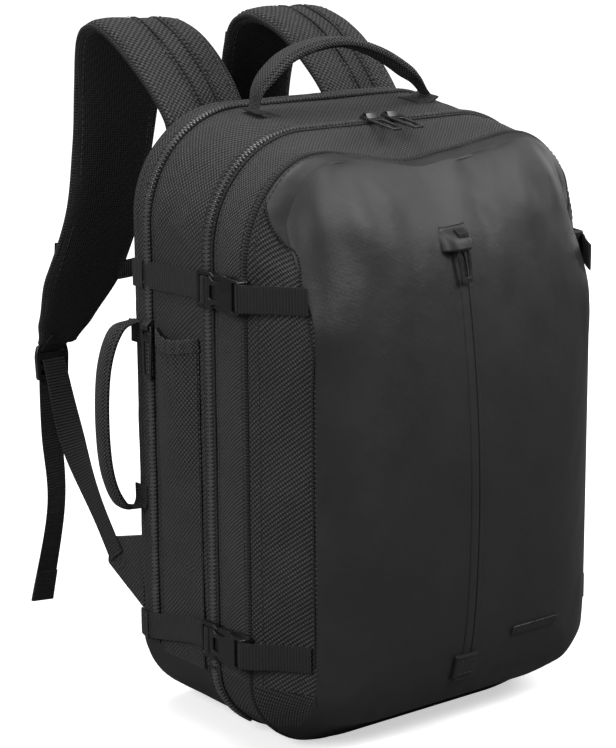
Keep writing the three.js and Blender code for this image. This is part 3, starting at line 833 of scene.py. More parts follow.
def ear_seam(grid):
    """The rolled seam round the gusset's twill: down from the piping, then along the panel."""
    rows, cols = grid.shape[:2]
    seam_z = np.linspace(*EAR_SEAM, rows)
    shape = Shape()
    for half in (slice(0, cols // 2), slice(cols - 1, cols // 2, -1)):
        places = [np.argmin(np.abs(grid[k, half, Z] - seam_z[k])) for k in range(rows)]
        top = np.array([grid[k, half][j] for k, j in enumerate(places)])
        top[:, Z] = seam_z
        edge = grid[-3, half][:places[-1]][::-1]
        edge = edge[edge[:, Z] > LOW_SEAM[1]]
        path = resample(np.concatenate([top[::5], edge[6::12], edge[-1:]]), 150)
        # The seam is swept in the dark tape finish: a rolled seam with a painted shade line along
        # it.
        shape.sweep(path, BACK, flat_profile(1.8 * MM, 1.8 * MM, 2.5, 10))
    settle(shape.piece("gusset_seams_painted_shade", tape_and_painted_shade), COVER, "coated_cloth")


BASE_EDGE = TAPE + 0.4 * MM
CLIMB = slice(0, int(0.9 * HALF_STEPS["foot"]))


def first_climb(part):
    """One end of the path under the floor, where it runs up the side."""
    return under_the_floor(part)[CLIMB]


def last_climb(part):
    return under_the_floor(part)[::-1][CLIMB]


def base_cloth():
    """The floor is coated cloth; in front of the main zip its sides are twill like the walls."""
    shape = Shape()
    stations = [back_edge, rear_band, shifted(main_zip, BASE_EDGE)]
    grid = loop_grid(stations, under_the_floor, 30)
    shape.sheet(raised(grid, ripples(grid, 50 * MM, 21) * 0.3 * MM))

    stations = [shifted(main_zip, -BASE_EDGE), piping_line, front_turn,
                *spread([front_turn, panel_edge], 4)[1:]]
    grid = loop_grid(stations, under_the_floor, 50)
    centres = face_centres(grid)
    forward = (PIPING_Y - centres[..., Y]) / (PIPING_Y - PANEL_EDGE_Y)
    is_twill = centres[..., Z] > np.maximum(low_seam(np.clip(forward, 0, 1)), 24 * MM)
    shape.sheet(grid, FABRIC, is_twill.astype(int).ravel().tolist())

    for side in (1, -1):
        add_tape(shape, main_zip, under_the_floor, side, BASE_EDGE, 0.3 * MM, 2)
    settle(shape.piece("base_tray_cloth", coated, twill, tape_and_painted_shade), REAR, "coated_cloth",
           "base_tray")

    shape = Shape()
    for region in (first_climb, last_climb):
        for side in (1, -1):
            path, out, across = zip_line(shifted(main_zip, 0, -TAPE_LIFT), region)
            turn = np.sign(out[0, X] * path[0, X])
            add_teeth(shape, path, out * turn, across * side, (1 - side) / 4, 0)
    path = under_the_floor(piping_line)
    shape.sweep(evenly(path, 90), BACK, round_profile(2.0 * MM, 10), 1)
    settle(shape.piece("base_zip_ends_and_cord", coil_with_painted_glint, webbing), REAR, "zip_coil")
    sew_line(REAR, shifted(main_zip, TAPE + 4 * MM), under_the_floor)


# ---------------------------------------------------------------- front panel
PANEL_TOP = roof_at(panel_edge.crest) - panel_edge.crest_trim - 0.4 * MM
PANEL_HALF = HALF_WIDTH - PANEL_TRIM - 0.4 * MM
PANEL_CROWN = CROWN_RADIUS - PANEL_TRIM
PANEL_FOOT = BASE_RADIUS - PANEL_TRIM
PANEL_REACH = 90 * MM
BOW_RADIUS = 915 * MM
BOW_HEIGHT = 180 * MM
FACE_Y = low("front_panel", Y)


def face_depth(z):
    return FACE_Y + BOW_RADIUS - np.sqrt(BOW_RADIUS**2 - (z - BOW_HEIGHT) ** 2)


def half_at(z, half, bottom, top, crown, foot):
    """Half the width, at a height, of an upright outline with rounded corners."""
    rise = np.maximum(0, z - (top - crown))
    drop = np.maximum(0, bottom + foot - z)
    above = crown - np.sqrt(np.maximum(0, crown**2 - rise**2))
    below = foot - np.sqrt(np.maximum(0, foot**2 - drop**2))
    return half - above - below


def distance_in(x, z):
    """How far inside the panel's rounded edge a point is."""
    total = np.minimum(PANEL_HALF - np.abs(x), np.minimum(PANEL_TOP - z, z - PANEL_TRIM))
    for radius, up in ((PANEL_CROWN, z - (PANEL_TOP - PANEL_CROWN)),
                       (PANEL_FOOT, PANEL_TRIM + PANEL_FOOT - z)):
        out = np.abs(x) - (PANEL_HALF - radius)
        corner = (out > 0) & (up > 0)
        total = np.where(corner, radius - np.hypot(out, up), total)
    return np.maximum(0, total)


def face_points(x, z, lift=0.0):
    x, z = np.broadcast_arrays(x, z)
    rest = np.maximum(0, 1 - distance_in(x, z) / PANEL_REACH) ** 4
    y = face_depth(z) + (depth_at(panel_edge, z) - face_depth(z)) * rest
    return slumped(tucked(np.stack([x, y - lift, z], axis=-1)))


STRIP_HALF = 11.5 * MM


def strip_middle(z):
    """The strip runs straight up the panel, then leans to the left under the crest."""
    heights = np.array([0, 360, 386, 400, 415, 430, 450]) * MM
    places = np.array([-2, -3, -8, -14, -23, -32, -36]) * MM
    return np.interp(z, heights, places)


def crowded(count):
    """Steps from -0.5 to 0.5 that are closer together towards both ends."""
    return np.sin(np.linspace(-0.5, 0.5, count) * math.pi) / 2


def front_relief(grid):
    """Folds under the crest, broad swells and puckers at the edge, and none along the strip."""
    inside = distance_in(grid[..., X], grid[..., Z])
    folds = ripples(grid * [1.0, 1.0, 0.3], 34 * MM, 31) * 1.5 * MM
    folds = folds * smooth(grid[..., Z], 270 * MM, 400 * MM)
    broad = ripples(grid, 110 * MM, 33) * 1.1 * MM
    puckers = ripples(grid * [1.0, 1.0, 0.6], 22 * MM, 36) * 0.5 * MM
    puckers = puckers * np.exp(-inside / (22 * MM)) * smooth(inside, 0, 6 * MM)
    from_strip = np.abs(grid[..., X] - strip_middle(grid[..., Z]))
    calm = smooth(from_strip, 1.2 * STRIP_HALF, 4 * STRIP_HALF)
    return (folds + broad) * calm * smooth(inside, 0, 12 * MM) + puckers


def front_sheet():
    """The coated panel runs without a seam from the crest to the floor."""
    z = (PANEL_TOP + PANEL_TRIM) / 2 - crowded(210) * (PANEL_TOP - PANEL_TRIM)
    half = half_at(z, PANEL_HALF, PANEL_TRIM, PANEL_TOP, PANEL_CROWN, PANEL_FOOT)
    grid = face_points(2 * crowded(150) * half[:, None], z[:, None])
    shape = Shape()
    shape.sheet(raised(grid, front_relief(grid)))
    piece = shape.piece("front_panel_cloth", coated)
    hinge_over(piece, (REAR, COVER), (0, FACE_Y, TRAY_TOP - 16 * MM),
               (0, FACE_Y, TRAY_TOP + 16 * MM), "coated_cloth", "front_panel")


def strip_path(offset, top, bottom, lift, count=120):
    z = np.linspace(top, bottom, count)
    return face_points(strip_middle(z) + offset, z, lift)


def front_placket():
    """A strip down the middle: stitched on its left, with a flap over the hidden zip."""
    zip_top, zip_low = high("front_zip", Z) - 8 * MM, low("front_zip", Z) - 4 * MM
    crest, foot = PANEL_TOP - 2 * MM, PANEL_TRIM + 14 * MM
    shape = Shape()
    strip = strip_path(0, crest, foot, 0.2 * MM, 200)
    shape.sweep(strip, RIGHT, flat_profile(2 * STRIP_HALF, 2.2 * MM, 10))
    flap = strip_path(2.6 * MM, zip_top, zip_low, 1.5 * MM)
    shape.sweep(flap, RIGHT, flat_profile(7.0 * MM, 2.8 * MM, 5))
    far_edge = strip_path(8.6 * MM, zip_top, zip_low, 1.5 * MM)
    shape.sweep(far_edge, RIGHT, flat_profile(3.6 * MM, 2.4 * MM, 4))
    hidden_zip = strip_path(6.4 * MM, zip_top, zip_low, 1.2 * MM, 260)[::3]
    shape.sweep(hidden_zip, RIGHT, flat_profile(1.6 * MM, 1.0 * MM, 4), 1)
    # Thin dark strips along the flap's left edge and the strip's right edge: painted shade lines,
    # not cloth.
    for offset, top in ((-1.2 * MM, zip_top), (STRIP_HALF + 0.2 * MM, crest)):
        crease = strip_path(offset, top, zip_low, 1.0 * MM)
        shape.sweep(crease, RIGHT, flat_profile(1.1 * MM, 1.0 * MM, 3, 8), 1)
    piece = shape.piece("front_placket", coated, tape_and_painted_shade)
    settle(piece, COVER, "coated_cloth", "front_zip")
    for offset in (1.5 * MM - STRIP_HALF, 4.5 * MM - STRIP_HALF):
        sew(COVER, strip_path(offset, crest - 6 * MM, foot, 1.5 * MM), -BACK)
    sew(COVER, strip_path(STRIP_HALF + 2.4 * MM, crest - 4 * MM, foot, 0.3 * MM), -BACK)
    zip_garage()
    zip_end_tab()


def zip_garage():
    """A small awning of cloth: closed above and at its sides, open over the slider below."""
    z = np.linspace(high("zip_hood", Z) - 17 * MM, high("front_slider", Z) - 9 * MM, 26)
    across = np.linspace(-1, 1, 25)
    rise = np.sin(smooth(np.linspace(0, 1, len(z)), 0, 0.9) * math.pi / 2)
    arch = np.sqrt(1 - np.abs(across) ** 2.6)
    x = across * (STRIP_HALF + 0.5 * MM) - 2 * MM
    grid = face_points(x[None, :], z[:, None], 1.2 * MM)
    grid = grid + (rise[:, None] * arch)[..., None] * np.array([0, -9.0, 1.5]) * MM
    shape = Shape()
    shape.sheet(grid, 1.4 * MM)
    shape.sweep(grid[-1], UP, flat_profile(3.0 * MM, 2.2 * MM, 2.4, 12))
    # Along the sewn top edge, a strip in the dark tape finish: the seam, with a painted shade line
    # along it.
    shape.sweep(grid[0] - BACK * 0.6 * MM, UP, flat_profile(2.2 * MM, 1.8 * MM, 2.4, 12), 1)
    settle(shape.piece("zip_hood_cloth", coated, tape_and_painted_shade), COVER, "twill", "zip_hood")
    sew(COVER, grid[3] - BACK * 0.4 * MM, -BACK)


def zip_end_tab():
    shape = Shape()
    top, bottom = high("zip_end_tab", Z), low("zip_end_tab", Z)
    path = strip_path(2 * MM, top, bottom, 3.4 * MM, 14)
    shape.sweep(path, RIGHT, flat_profile(20 * MM, 3.6 * MM, 7))
    # The lower edge strip takes the dark tape finish: a seam, with painted shade under the tab.
    for z, slot in ((top, 0), (bottom, 1)):
        edge = strip_path(2 * MM, z + 0.8 * MM, z - 0.8 * MM, 3.4 * MM, 4)
        shape.sweep(edge, RIGHT, flat_profile(21.5 * MM, 5.2 * MM, 4), slot)
    piece = shape.piece("zip_end_tab_cloth", coated, tape_and_painted_shade)
    settle(piece, COVER, "coated_cloth", "zip_end_tab")
    for z in (top - 3.5 * MM, bottom + 3.5 * MM):
        x = strip_middle(z) + 2 * MM + np.linspace(-8 * MM, 8 * MM, 8)
        sew(COVER, face_points(x, z, 5.3 * MM), -BACK)


# ---------------------------------------------------------------- moulded pieces
def rounded(corners, radius):
    """A closed outline with its corners rounded off."""
    points = []
    count = len(corners)
    for k in range(count):
        before, here, after = (np.array(corners[(k + d) % count], float) for d in (-1, 0, 1))
        back, ahead = before - here, after - here
        reach = min(radius, np.linalg.norm(back) * 0.48, np.linalg.norm(ahead) * 0.48)
        start, stop = here + unit(back) * reach, here + unit(ahead) * reach
        for t in np.linspace(0, 1, 5):
            points.append(start * (1 - t) ** 2 + here * 2 * t * (1 - t) + stop * t**2)
    return points


def box_ring(left, right, bottom, top):
    return [(left, bottom), (right, bottom), (right, top), (left, top)]


def moulded(shape, rings, thick, place, round_off=0.6 * MM, slot=0):
    """A flat plate with rounded edges: its outline, then any holes, put in place by a matrix."""
    curve = bpy.data.curves.new("outline", "CURVE")
    curve.dimensions = "2D"
    curve.fill_mode = "BOTH"
    curve.extrude = thick / 2 - round_off
    curve.bevel_depth = round_off
    curve.bevel_resolution = 2
    curve.offset = -round_off
    for ring in rings:
        spline = curve.splines.new("POLY")
        spline.points.add(len(ring) - 1)
        spline.points.foreach_set("co", np.array([[a, b, 0, 1] for a, b in ring]).ravel())
        spline.use_cyclic_u = True
    holder = bpy.data.objects.new("outline", curve)
    bpy.context.scene.collection.objects.link(holder)
    bpy.context.view_layer.update()
    seen = holder.evaluated_get(bpy.context.evaluated_depsgraph_get())
    mesh = bpy.data.meshes.new_from_object(seen)
    coords = [tuple(vertex.co)[:2] for vertex in mesh.vertices]
    mesh.transform(place)
    points = [tuple(vertex.co) for vertex in mesh.vertices]
    faces = [list(face.vertices) for face in mesh.polygons]
    shape.add(points, faces, coords, slot)
    bpy.data.meshes.remove(mesh)
    bpy.data.objects.remove(holder)
    bpy.data.curves.remove(curve)


def basis(first, second, third, origin):
    columns = np.stack([first, second, third, origin], axis=1)
    return Matrix(np.vstack([columns, [0, 0, 0, 1]]).tolist())


# ---------------------------------------------------------------- compression straps and clips
def both_halves(upper):
    """A closed outline from its upper half: the lower half is the mirror image."""
    return [*upper, *[(a, -b) for a, b in reversed(upper)]]


def clip_outlines():
    """Outlines in (along, up) of a side-release clip, along 0 at its middle bar."""
    half = high("clip_male_upper_left", Z) - middle("clip_male_upper_left", Z)
    rear = high("clip_male_upper_left", Y)
    mouth = -6 * MM
    end = low("clip_female_upper_left", Y)
    tip = low("clip_male_upper_left", Y)
    wide = WEBBING / 2 + 0.5 * MM
    notch = half - 4 * MM
    male = [(rear, half), (mouth - 2 * MM, half), (mouth - 5 * MM, half - 2.5 * MM),
            (mouth - 12 * MM, half + 0.2 * MM), (mouth - 20 * MM, half - 0.5 * MM),
            (tip, half - 5.5 * MM), (tip + 4 * MM, half - 7.5 * MM),
            (mouth - 13 * MM, half - 6 * MM)]
    female = [(mouth, notch), (mouth - 4 * MM, notch + 2 * MM), (mouth - 7 * MM, notch - 1 * MM),
              (mouth - 17 * MM, notch - 1 * MM), (mouth - 21 * MM, half),
              (end, half - 1.5 * MM)]
    slots = [box_ring(y - 2 * MM, y + 2 * MM, -wide, wide)
             for y in (rear - 5 * MM, rear - 13 * MM)]
    bar_slot = rounded(box_ring(end + 2.4 * MM, end + 8 * MM, -wide, wide), 1 * MM)
    window = box_ring(mouth - 10.5 * MM, mouth - 3.5 * MM, -5 * MM, 5 * MM)
    seat = box_ring(end, end + 13 * MM, -half + 1.5 * MM, half - 1.5 * MM)
    male_rings = [rounded(both_halves(male), 2 * MM), *[rounded(ring, 1 * MM) for ring in slots]]
    plate = [rounded(both_halves(female), 1.6 * MM), bar_slot, rounded(window, 1 * MM)]
    return male_rings, plate, [rounded(seat, 1.5 * MM), bar_slot]


def clip_pieces(name, place, scale, male_body, female_body, nodes):
    male_rings, plate, block = clip_outlines()
    gap = 2.5 * MM
    wall = 1.9 * MM

    def at(depth):
        return place @ Matrix.Scale(scale, 4) @ Matrix.Translation((0, 0, depth))

    shape = Shape()
    moulded(shape, male_rings, 4.2 * MM, at(0), 0.8 * MM)
    settle(shape.piece(f"{name}_male_moulding", plastic), male_body, "buckle_plastic", nodes[0])
    shape = Shape()
    for side in (-1, 1):
        moulded(shape, plate, wall, at(side * (gap + wall / 2)), 0.6 * MM)
    moulded(shape, block, 2 * gap + 0.8 * MM, at(0), 0.4 * MM)
    settle(shape.piece(f"{name}_female_moulding", plastic), female_body, "buckle_plastic",
           nodes[1])


def box_stitch(body, centre, along, across, out, reach, wide):
    """A sewn box with a cross in it."""
    corners = [centre + along * a * reach / 2 + across * b * wide / 2
               for a, b in ((-1, -1), (1, -1), (1, 1), (-1, 1))]
    lines = [*zip(corners, corners[1:] + corners[:1]), corners[::2], corners[1::2]]
    for start, stop in lines:
        sew(body, np.linspace(start, stop, 6), out, 2.4 * MM, 1.0 * MM, 0.35 * MM)


STRAP_DROOP = {"upper": 2 * MM, "lower": 13 * MM}


def rear_webbing(row, side_name, z, clip_x):
    """From its sewn end on the wall to the clip's bar, with a patch over the sewn end."""
    side = SIDES[side_name]
    label = f"{row}_{side_name}"
    strap_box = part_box(f"strap_rear_{label}")
    wall = max(abs(strap_box[0][X]), abs(strap_box[1][X])) - 0.5 * MM
    start_y = strap_box[1][Y]
    droop = STRAP_DROOP[row]
    places = [(start_y, HALF_WIDTH + 0.8 * MM), (start_y - 9 * MM, wall - 0.6 * MM),
              (64 * MM, wall), (40 * MM, wall), (14 * MM, wall + 0.4 * MM),
              (6 * MM, wall + 2.4 * MM), (3 * MM, clip_x + 2.2 * MM), (0, clip_x + 3.2 * MM),
              (-3 * MM, clip_x + 1.5 * MM), (-4.4 * MM, clip_x - 1.5 * MM)]
    path = resample([(side * x, y, z) for y, x in places], 90)
    path[:, Z] -= droop * smooth(path[:, Y], 10 * MM, start_y)
    shape = Shape()
    shape.sweep(path, UP, band_profile(thick=1.5 * MM))
    patch = [(start_y - 1 * MM, HALF_WIDTH + 2.2 * MM), (start_y - 16 * MM, wall + 1.3 * MM)]
    path = resample([(side * x, y, z - droop) for y, x in patch], 8)
    shape.sweep(path, UP, band_profile(WEBBING + 1 * MM, 1.6 * MM))
    piece = shape.piece(f"strap_rear_webbing_{label}", webbing)
    hinge_over(piece, (REAR, f"clip_{label}_body"), (side * wall, 85 * MM, z),
               (side * wall, 12 * MM, z), "webbing", f"strap_rear_{label}")
    centre = np.array([side * (wall + 1.1 * MM), start_y - 14 * MM, z - droop])
    box_stitch(REAR, centre, BACK, UP, side * RIGHT, 7 * MM, WEBBING - 5 * MM)


def front_webbing(label, side, z, clip_x):
    """From a fold round the socket's bar to the seam beside the front panel."""
    front_y = low(f"clip_female_{label}", Y)
    places = [(front_y + 7 * MM, clip_x + 1.2 * MM), (front_y + 2 * MM, clip_x + 3.6 * MM),
              (front_y - 3 * MM, clip_x + 1.5 * MM), (-53 * MM, clip_x - 3.5 * MM),
              (-60 * MM, HALF_WIDTH - 3 * MM), (-69 * MM, HALF_WIDTH - 10 * MM),
              (-83 * MM, HALF_WIDTH - 20 * MM)]
    path = resample([(side * x, y, z) for y, x in places], 70)
    shape = Shape()
    shape.sweep(path, UP, band_profile(thick=1.5 * MM))
    settle(shape.piece(f"strap_front_webbing_{label}", webbing), COVER, "webbing",
           f"strap_front_{label}")


def compression_strap(row, side_name):
    side = SIDES[side_name]
    label = f"{row}_{side_name}"
    z = middle(f"clip_male_{label}", Z)
    clip_x = abs(middle(f"clip_male_{label}", X))
    rear_webbing(row, side_name, z, clip_x)
    front_webbing(label, side, z, clip_x)
    clip_pieces(f"clip_{label}", basis(BACK, UP, side * RIGHT, (side * clip_x, 0, z)), 1.0,
                f"clip_{label}_body", COVER, (f"clip_male_{label}", f"clip_female_{label}"))


# ---------------------------------------------------------------- side pockets
def side_pocket(side_name):
    """A stretch pocket on the side wall, gathered under an elastic hem."""
    side = SIDES[side_name]
    node = f"side_pocket_{side_name}"
    front, rear = low(node, Y) + 1 * MM, high(node, Y) - 1 * MM
    bottom, top = low(node, Z), high(node, Z)
    z, y = np.broadcast_arrays(np.linspace(top, bottom, 90)[:, None],
                               np.linspace(front, rear, 44)[None, ::-side])
    bow = np.sin(math.pi * (rear - y) / (rear - front)).clip(0, None)
    reach = max(abs(low(node, X)), abs(high(node, X))) - HALF_WIDTH - 3 * MM
    open_up = smooth(z, bottom + 45 * MM, top)
    hem = smooth(z, top - 60 * MM, top)
    pleats = np.sin(2 * math.pi * y / (8.5 * MM) + 1.5 * np.sin(z / (30 * MM)))
    x = HALF_WIDTH + 2.2 * MM + reach * open_up * bow**0.8 + pleats * 0.7 * MM * hem * bow
    grid = np.stack([side * x, y, z - 4 * MM * bow * open_up], axis=-1)
    grid[..., X] += side * ripples(grid, 30 * MM, 41 + side) * 0.8 * MM * bow**0.5
    shape = Shape()
    shape.sheet(grid, 1 * MM)
    hem_line = grid[0]
    shape.sweep(hem_line, UP, flat_profile(11 * MM, 2.4 * MM, 3, 14), 1)
    settle(shape.piece(f"{node}_cloth", twill, band_twill), REAR, "twill", node)
    out = side * RIGHT
    for line in (grid[:, 1], grid[:, -2]):
        sew(REAR, line + out * 0.3 * MM, out)
    sew(REAR, hem_line + out * 1.2 * MM - UP * 4 * MM, out)


# ---------------------------------------------------------------- carrying handles
def joint_place(name):
    joint = next(j for j in frame["joints"] if j["name"] == name)
    return np.array(joint["pos_m"])


def handle_profile(width, thick):
    """A padded band: a crowned middle between two flat, stitched edges."""
    half = width / 2
    lip = 0.2 * thick
    crown = 0.5 * thick
    right = [(half, 0), (half - 0.4 * MM, lip), (half - 2.6 * MM, lip), (half - 4 * MM, crown)]
    top = right + [(0, crown * 1.12)] + [(-a, b) for a, b in reversed(right)]
    bottom = [(a, -b) for a, b in reversed(top[1:-1])]
    return np.array(top + bottom)


def carry_handle(name, path, narrow, padded, ease):
    """A band that is narrow and flat at its sewn ends and padded in between."""
    share = np.linspace(0, 1, len(path))
    body = smooth(np.sin(math.pi * share), 0.05, ease)[:, None, None]
    flat, full = handle_profile(*narrow), handle_profile(*padded)
    shape = Shape()
    shape.sweep(path, BACK, flat + (full - flat) * body)
    settle(shape.piece(f"{name}_band", band_twill), f"{name}_body", "webbing", name)


def top_handle():
    foot = low("top_handle", Z) + 1.5 * MM
    y = middle("top_handle", Y)
    reach = high("top_handle", X) - 3 * MM
    rise = high("top_handle", Z) - foot - 4 * MM
    share = [(-1, 0), (-0.93, 0.36), (-0.66, 0.80), (-0.30, 1.0), (0.05, 1.0), (0.45, 0.76),
             (0.82, 0.34), (1, 0)]
    path = resample([(a * reach, y, foot + b * rise) for a, b in share], 110)
    carry_handle("top_handle", path, (13 * MM, 2.6 * MM), (23 * MM, 7.5 * MM), 0.45)

    shape = Shape()
    slope = unit(BACK + UP * ROOF_SLOPE)
    lift = roof_at(y) + 1.4 * MM
    for side in (-1, 1):
        patch = resample([(side * (reach + 3 * MM), y, foot - 0.6 * MM),
                          (side * (reach - 4 * MM), y, lift + 0.5 * MM),
                          (side * (reach - 17 * MM), y, lift)], 12)
        shape.sweep(patch, slope, band_profile(24 * MM, 1.6 * MM))
        centre = np.array([side * (reach - 9 * MM), y, lift + 1.3 * MM])
        box_stitch(REAR, centre, RIGHT, slope, UP, 11 * MM, 17 * MM)
    settle(shape.piece("top_handle_feet", webbing), REAR, "webbing")


def side_handle():
    y = middle("side_handle", Y)
    wall = high("side_handle", X) - 1 * MM
    out = wall - low("side_handle", X) - 3 * MM
    bottom, top = low("side_handle", Z) + 3 * MM, high("side_handle", Z) - 3 * MM
    share = [(1, 0), (0.96, 0.55), (0.78, 0.9), (0.5, 1.0), (0.22, 0.9), (0.04, 0.55), (0, 0)]
    path = resample([(wall - b * out, y, bottom + a * (top - bottom)) for a, b in share], 110)
    carry_handle("side_handle", path, (12 * MM, 2.4 * MM), (17 * MM, 6 * MM), 0.4)

    shape = Shape()
    sewn_x = -HALF_WIDTH - 1.2 * MM
    for z, turn in ((top, -1), (bottom, 1)):
        patch = resample([(wall - 1 * MM, y, z), (sewn_x, y, z + turn * 5 * MM),
                          (sewn_x, y, z + turn * 17 * MM)], 10)
        shape.sweep(patch, BACK, band_profile(16 * MM, 1.6 * MM))
    settle(shape.piece("side_handle_feet", webbing), REAR, "webbing")


# ---------------------------------------------------------------- shoulder straps
# Each line runs along the middle of a strap, in millimetres from its seam on the back panel.
STRAP_LINES = {
    "left": [(0, -3, -14), (0, 0, 0), (-4, 12, 22), (-11, 30, 46), (-17, 47, 61), (-21, 61, 65),
             (-24, 72, 55), (-27, 77, 18), (-32, 79, -28), (-41, 81, -80), (-56, 90, -130),
             (-73, 103, -180)],
    "right": [(0, -3, -14), (0, 0, 0), (-5, 13, 23), (-14, 34, 49), (-23, 54, 63), (-29, 69, 66),
              (-34, 82, 56), (-37, 92, 20), (-34, 99, -28), (-22, 104, -80), (0, 109, -130),
              (21, 111, -180)],
}
STRAP_TWIST = {"left": -28, "right": -6}
STRAP_WIDTH = 70 * MM
STRAP_SEAMS = (-0.02, 0.19)


def strap_profile(width, thick, sides=48):
    """A padded strap: flat edges, a crowned outer face with a seam groove, a fuller inner face."""
    turn = np.linspace(0, 2 * math.pi, sides, endpoint=False)
    across, up = np.cos(turn), np.sin(turn)
    a = np.sign(across) * np.abs(across) ** 0.55 * width / 2
    b = np.sign(up) * np.abs(up) ** 0.75 * thick / 2
    groove = sum(np.exp(-((a / width - place) / 0.035) ** 2) for place in STRAP_SEAMS) * 1.5 * MM
    return np.stack([a, np.where(up > 0, b - groove, b)], axis=1)


def strap_frame(side_name):
    """The strap's middle line, its sideways and outward directions, its width and thickness."""
    root = joint_place(f"strap_{side_name}_hinge")
    path = resample(root + np.array(STRAP_LINES[side_name]) * MM, 150)
    t = np.linspace(0, 1, len(path))
    turn = np.radians(STRAP_TWIST[side_name]) * smooth(t, 0, 0.3) * (1 - 0.7 * smooth(t, 0.4, 0.7))
    side = np.stack([np.cos(turn), np.sin(turn), np.zeros(len(t))], axis=1)
    width = STRAP_WIDTH * (1 - 0.13 * smooth(t, 0.25, 0.55)) - 20 * MM * smooth(t, 0.84, 0.97)
    width = width - 12 * MM * smooth(t, 0.95, 1.0)
    thick = 9 * MM + 4.5 * MM * smooth(t, 0.05, 0.25) * (1 - smooth(t, 0.9, 1.0))
    up = unit(np.cross(side, unit(np.gradient(path, axis=0))))
    return path, side, up, width, thick


def strap_pad(side_name, path, side, up, width, thick):
    """The padded strap: twill outside, air mesh inside, bound edges and two sewn seams."""
    shape = Shape()
    rings = np.stack([strap_profile(w, d) for w, d in zip(width, thick)])
    shape.sweep(path, side, rings, up=up)
    sides = rings.shape[1]
    is_inside = np.tile(np.arange(sides) >= sides / 2, len(path) - 1).astype(int)
    shape.slots = is_inside.tolist() + [0, 0]
    grid = shape.points[0].reshape(len(path), sides, 3)
    pad = ripples(grid, 38 * MM, 51) * 0.8 * MM + ripples(grid, 15 * MM, 52) * 0.3 * MM
    normal = unit(grid - path[:, None])
    shape.points[0] = (grid + normal * pad[..., None]).reshape(-1, 3)
    for edge in (-1, 1):
        rim = path + side * (edge * (width / 2 - 0.6 * MM))[:, None]
        shape.sweep(rim, side, flat_profile(4.6 * MM, 4.2 * MM, 2.4, 12), 2, up)
    # Each seam groove holds a thin strip of dark webbing: painted shade in the groove.
    for place in STRAP_SEAMS:
        seam = path + side * (place * width)[:, None] + up * (thick / 2 - 0.6 * MM)[:, None]
        shape.sweep(seam, side, flat_profile(1.4 * MM, 1.6 * MM, 3, 8), 2, up)
    piece = shape.piece(f"shoulder_strap_pad_{side_name}", twill, air_mesh, webbing)
    settle(piece, f"strap_{side_name}_body", "air_mesh", f"shoulder_strap_{side_name}")


def strap_stitches(body, path, side, up, width, thick):
    stitches[body] = Shape()
    run = slice(4, -8)
    for place in (STRAP_SEAMS[0] - 0.05, STRAP_SEAMS[1] + 0.05):
        sewn = path + side * (place * width)[:, None] + up * (thick / 2 + 0.1 * MM)[:, None]
        sew(body, sewn[run], up[run])
    for edge in (-1, 1):
        sewn = path + side * (edge * (width / 2 - 5 * MM))[:, None]
        for face in (1, -1):
            sew(body, (sewn + face * up * (thick * 0.36)[:, None])[run], face * up[run])


def strap_webbing(side_name, path, side, up, width, thick):
    """Two bands across the strap, and the loop at its end that holds the ladder lock."""
    tangent = unit(np.gradient(path, axis=0))
    shape = Shape()
    for share in (0.40, 0.80):
        k = int(share * (len(path) - 1))
        centre = path[k] + up[k] * (thick[k] / 2 + 0.6 * MM)
        reach = side[k] * (width[k] / 2 - 3 * MM)
        line = np.linspace(centre - reach, centre + reach, 24)
        shape.sweep(line, tangent[k], band_profile(20 * MM, 1.5 * MM))
    lock = f"ladder_lock_{side_name}"
    lock_top = np.array([middle(lock, X), middle(lock, Y), high(lock, Z)])
    start = path[-8] + up[-8] * 4 * MM
    round_bar = lock_top + np.array([(0, 3.0, -2), (0, 0.3, -5.6), (0, -3.0, -2)]) * MM
    loop = resample([start, (start + lock_top) / 2 + BACK * 1.2 * MM, *round_bar,
                     path[-3] - up[-3] * 3 * MM], 40)
    shape.sweep(loop, RIGHT, band_profile())
    settle(shape.piece(f"shoulder_strap_webbing_{side_name}", webbing),
           f"strap_{side_name}_body", "webbing")


def shoulder_strap(side_name):
    parts = strap_frame(side_name)
    strap_pad(side_name, *parts)
    strap_stitches(f"strap_{side_name}_body", *parts)
    strap_webbing(side_name, *parts)


def ladder_lock(side_name):
    """The adjuster's moulding; gives the middle of its top edge."""
    lock = f"ladder_lock_{side_name}"
    x, y, top = middle(lock, X), middle(lock, Y), high(lock, Z)
    half, tall = (high(lock, X) - low(lock, X)) / 2, top - low(lock, Z)
    wide = WEBBING / 2 + 0.8 * MM
    outline = [(-half + 2 * MM, 0), (half - 2 * MM, 0), (half, -8 * MM), (half - 1 * MM, -tall),
               (1 * MM - half, -tall), (-half, -8 * MM)]
    slots = [(-6.2 * MM, -5 * MM), (-16 * MM, -12 * MM), (-24 * MM, -20 * MM)]
    rings = [rounded(outline, 2.5 * MM),
             *[rounded(box_ring(-wide, wide, *slot), MM) for slot in slots]]
    shape = Shape()
    moulded(shape, rings, 3.6 * MM, basis(RIGHT, UP, -BACK, (x, y, top)), 0.8 * MM)
    settle(shape.piece(f"{lock}_moulding", plastic), f"lock_{side_name}_body",
           "buckle_plastic", lock)
    return np.array([x, y, top])


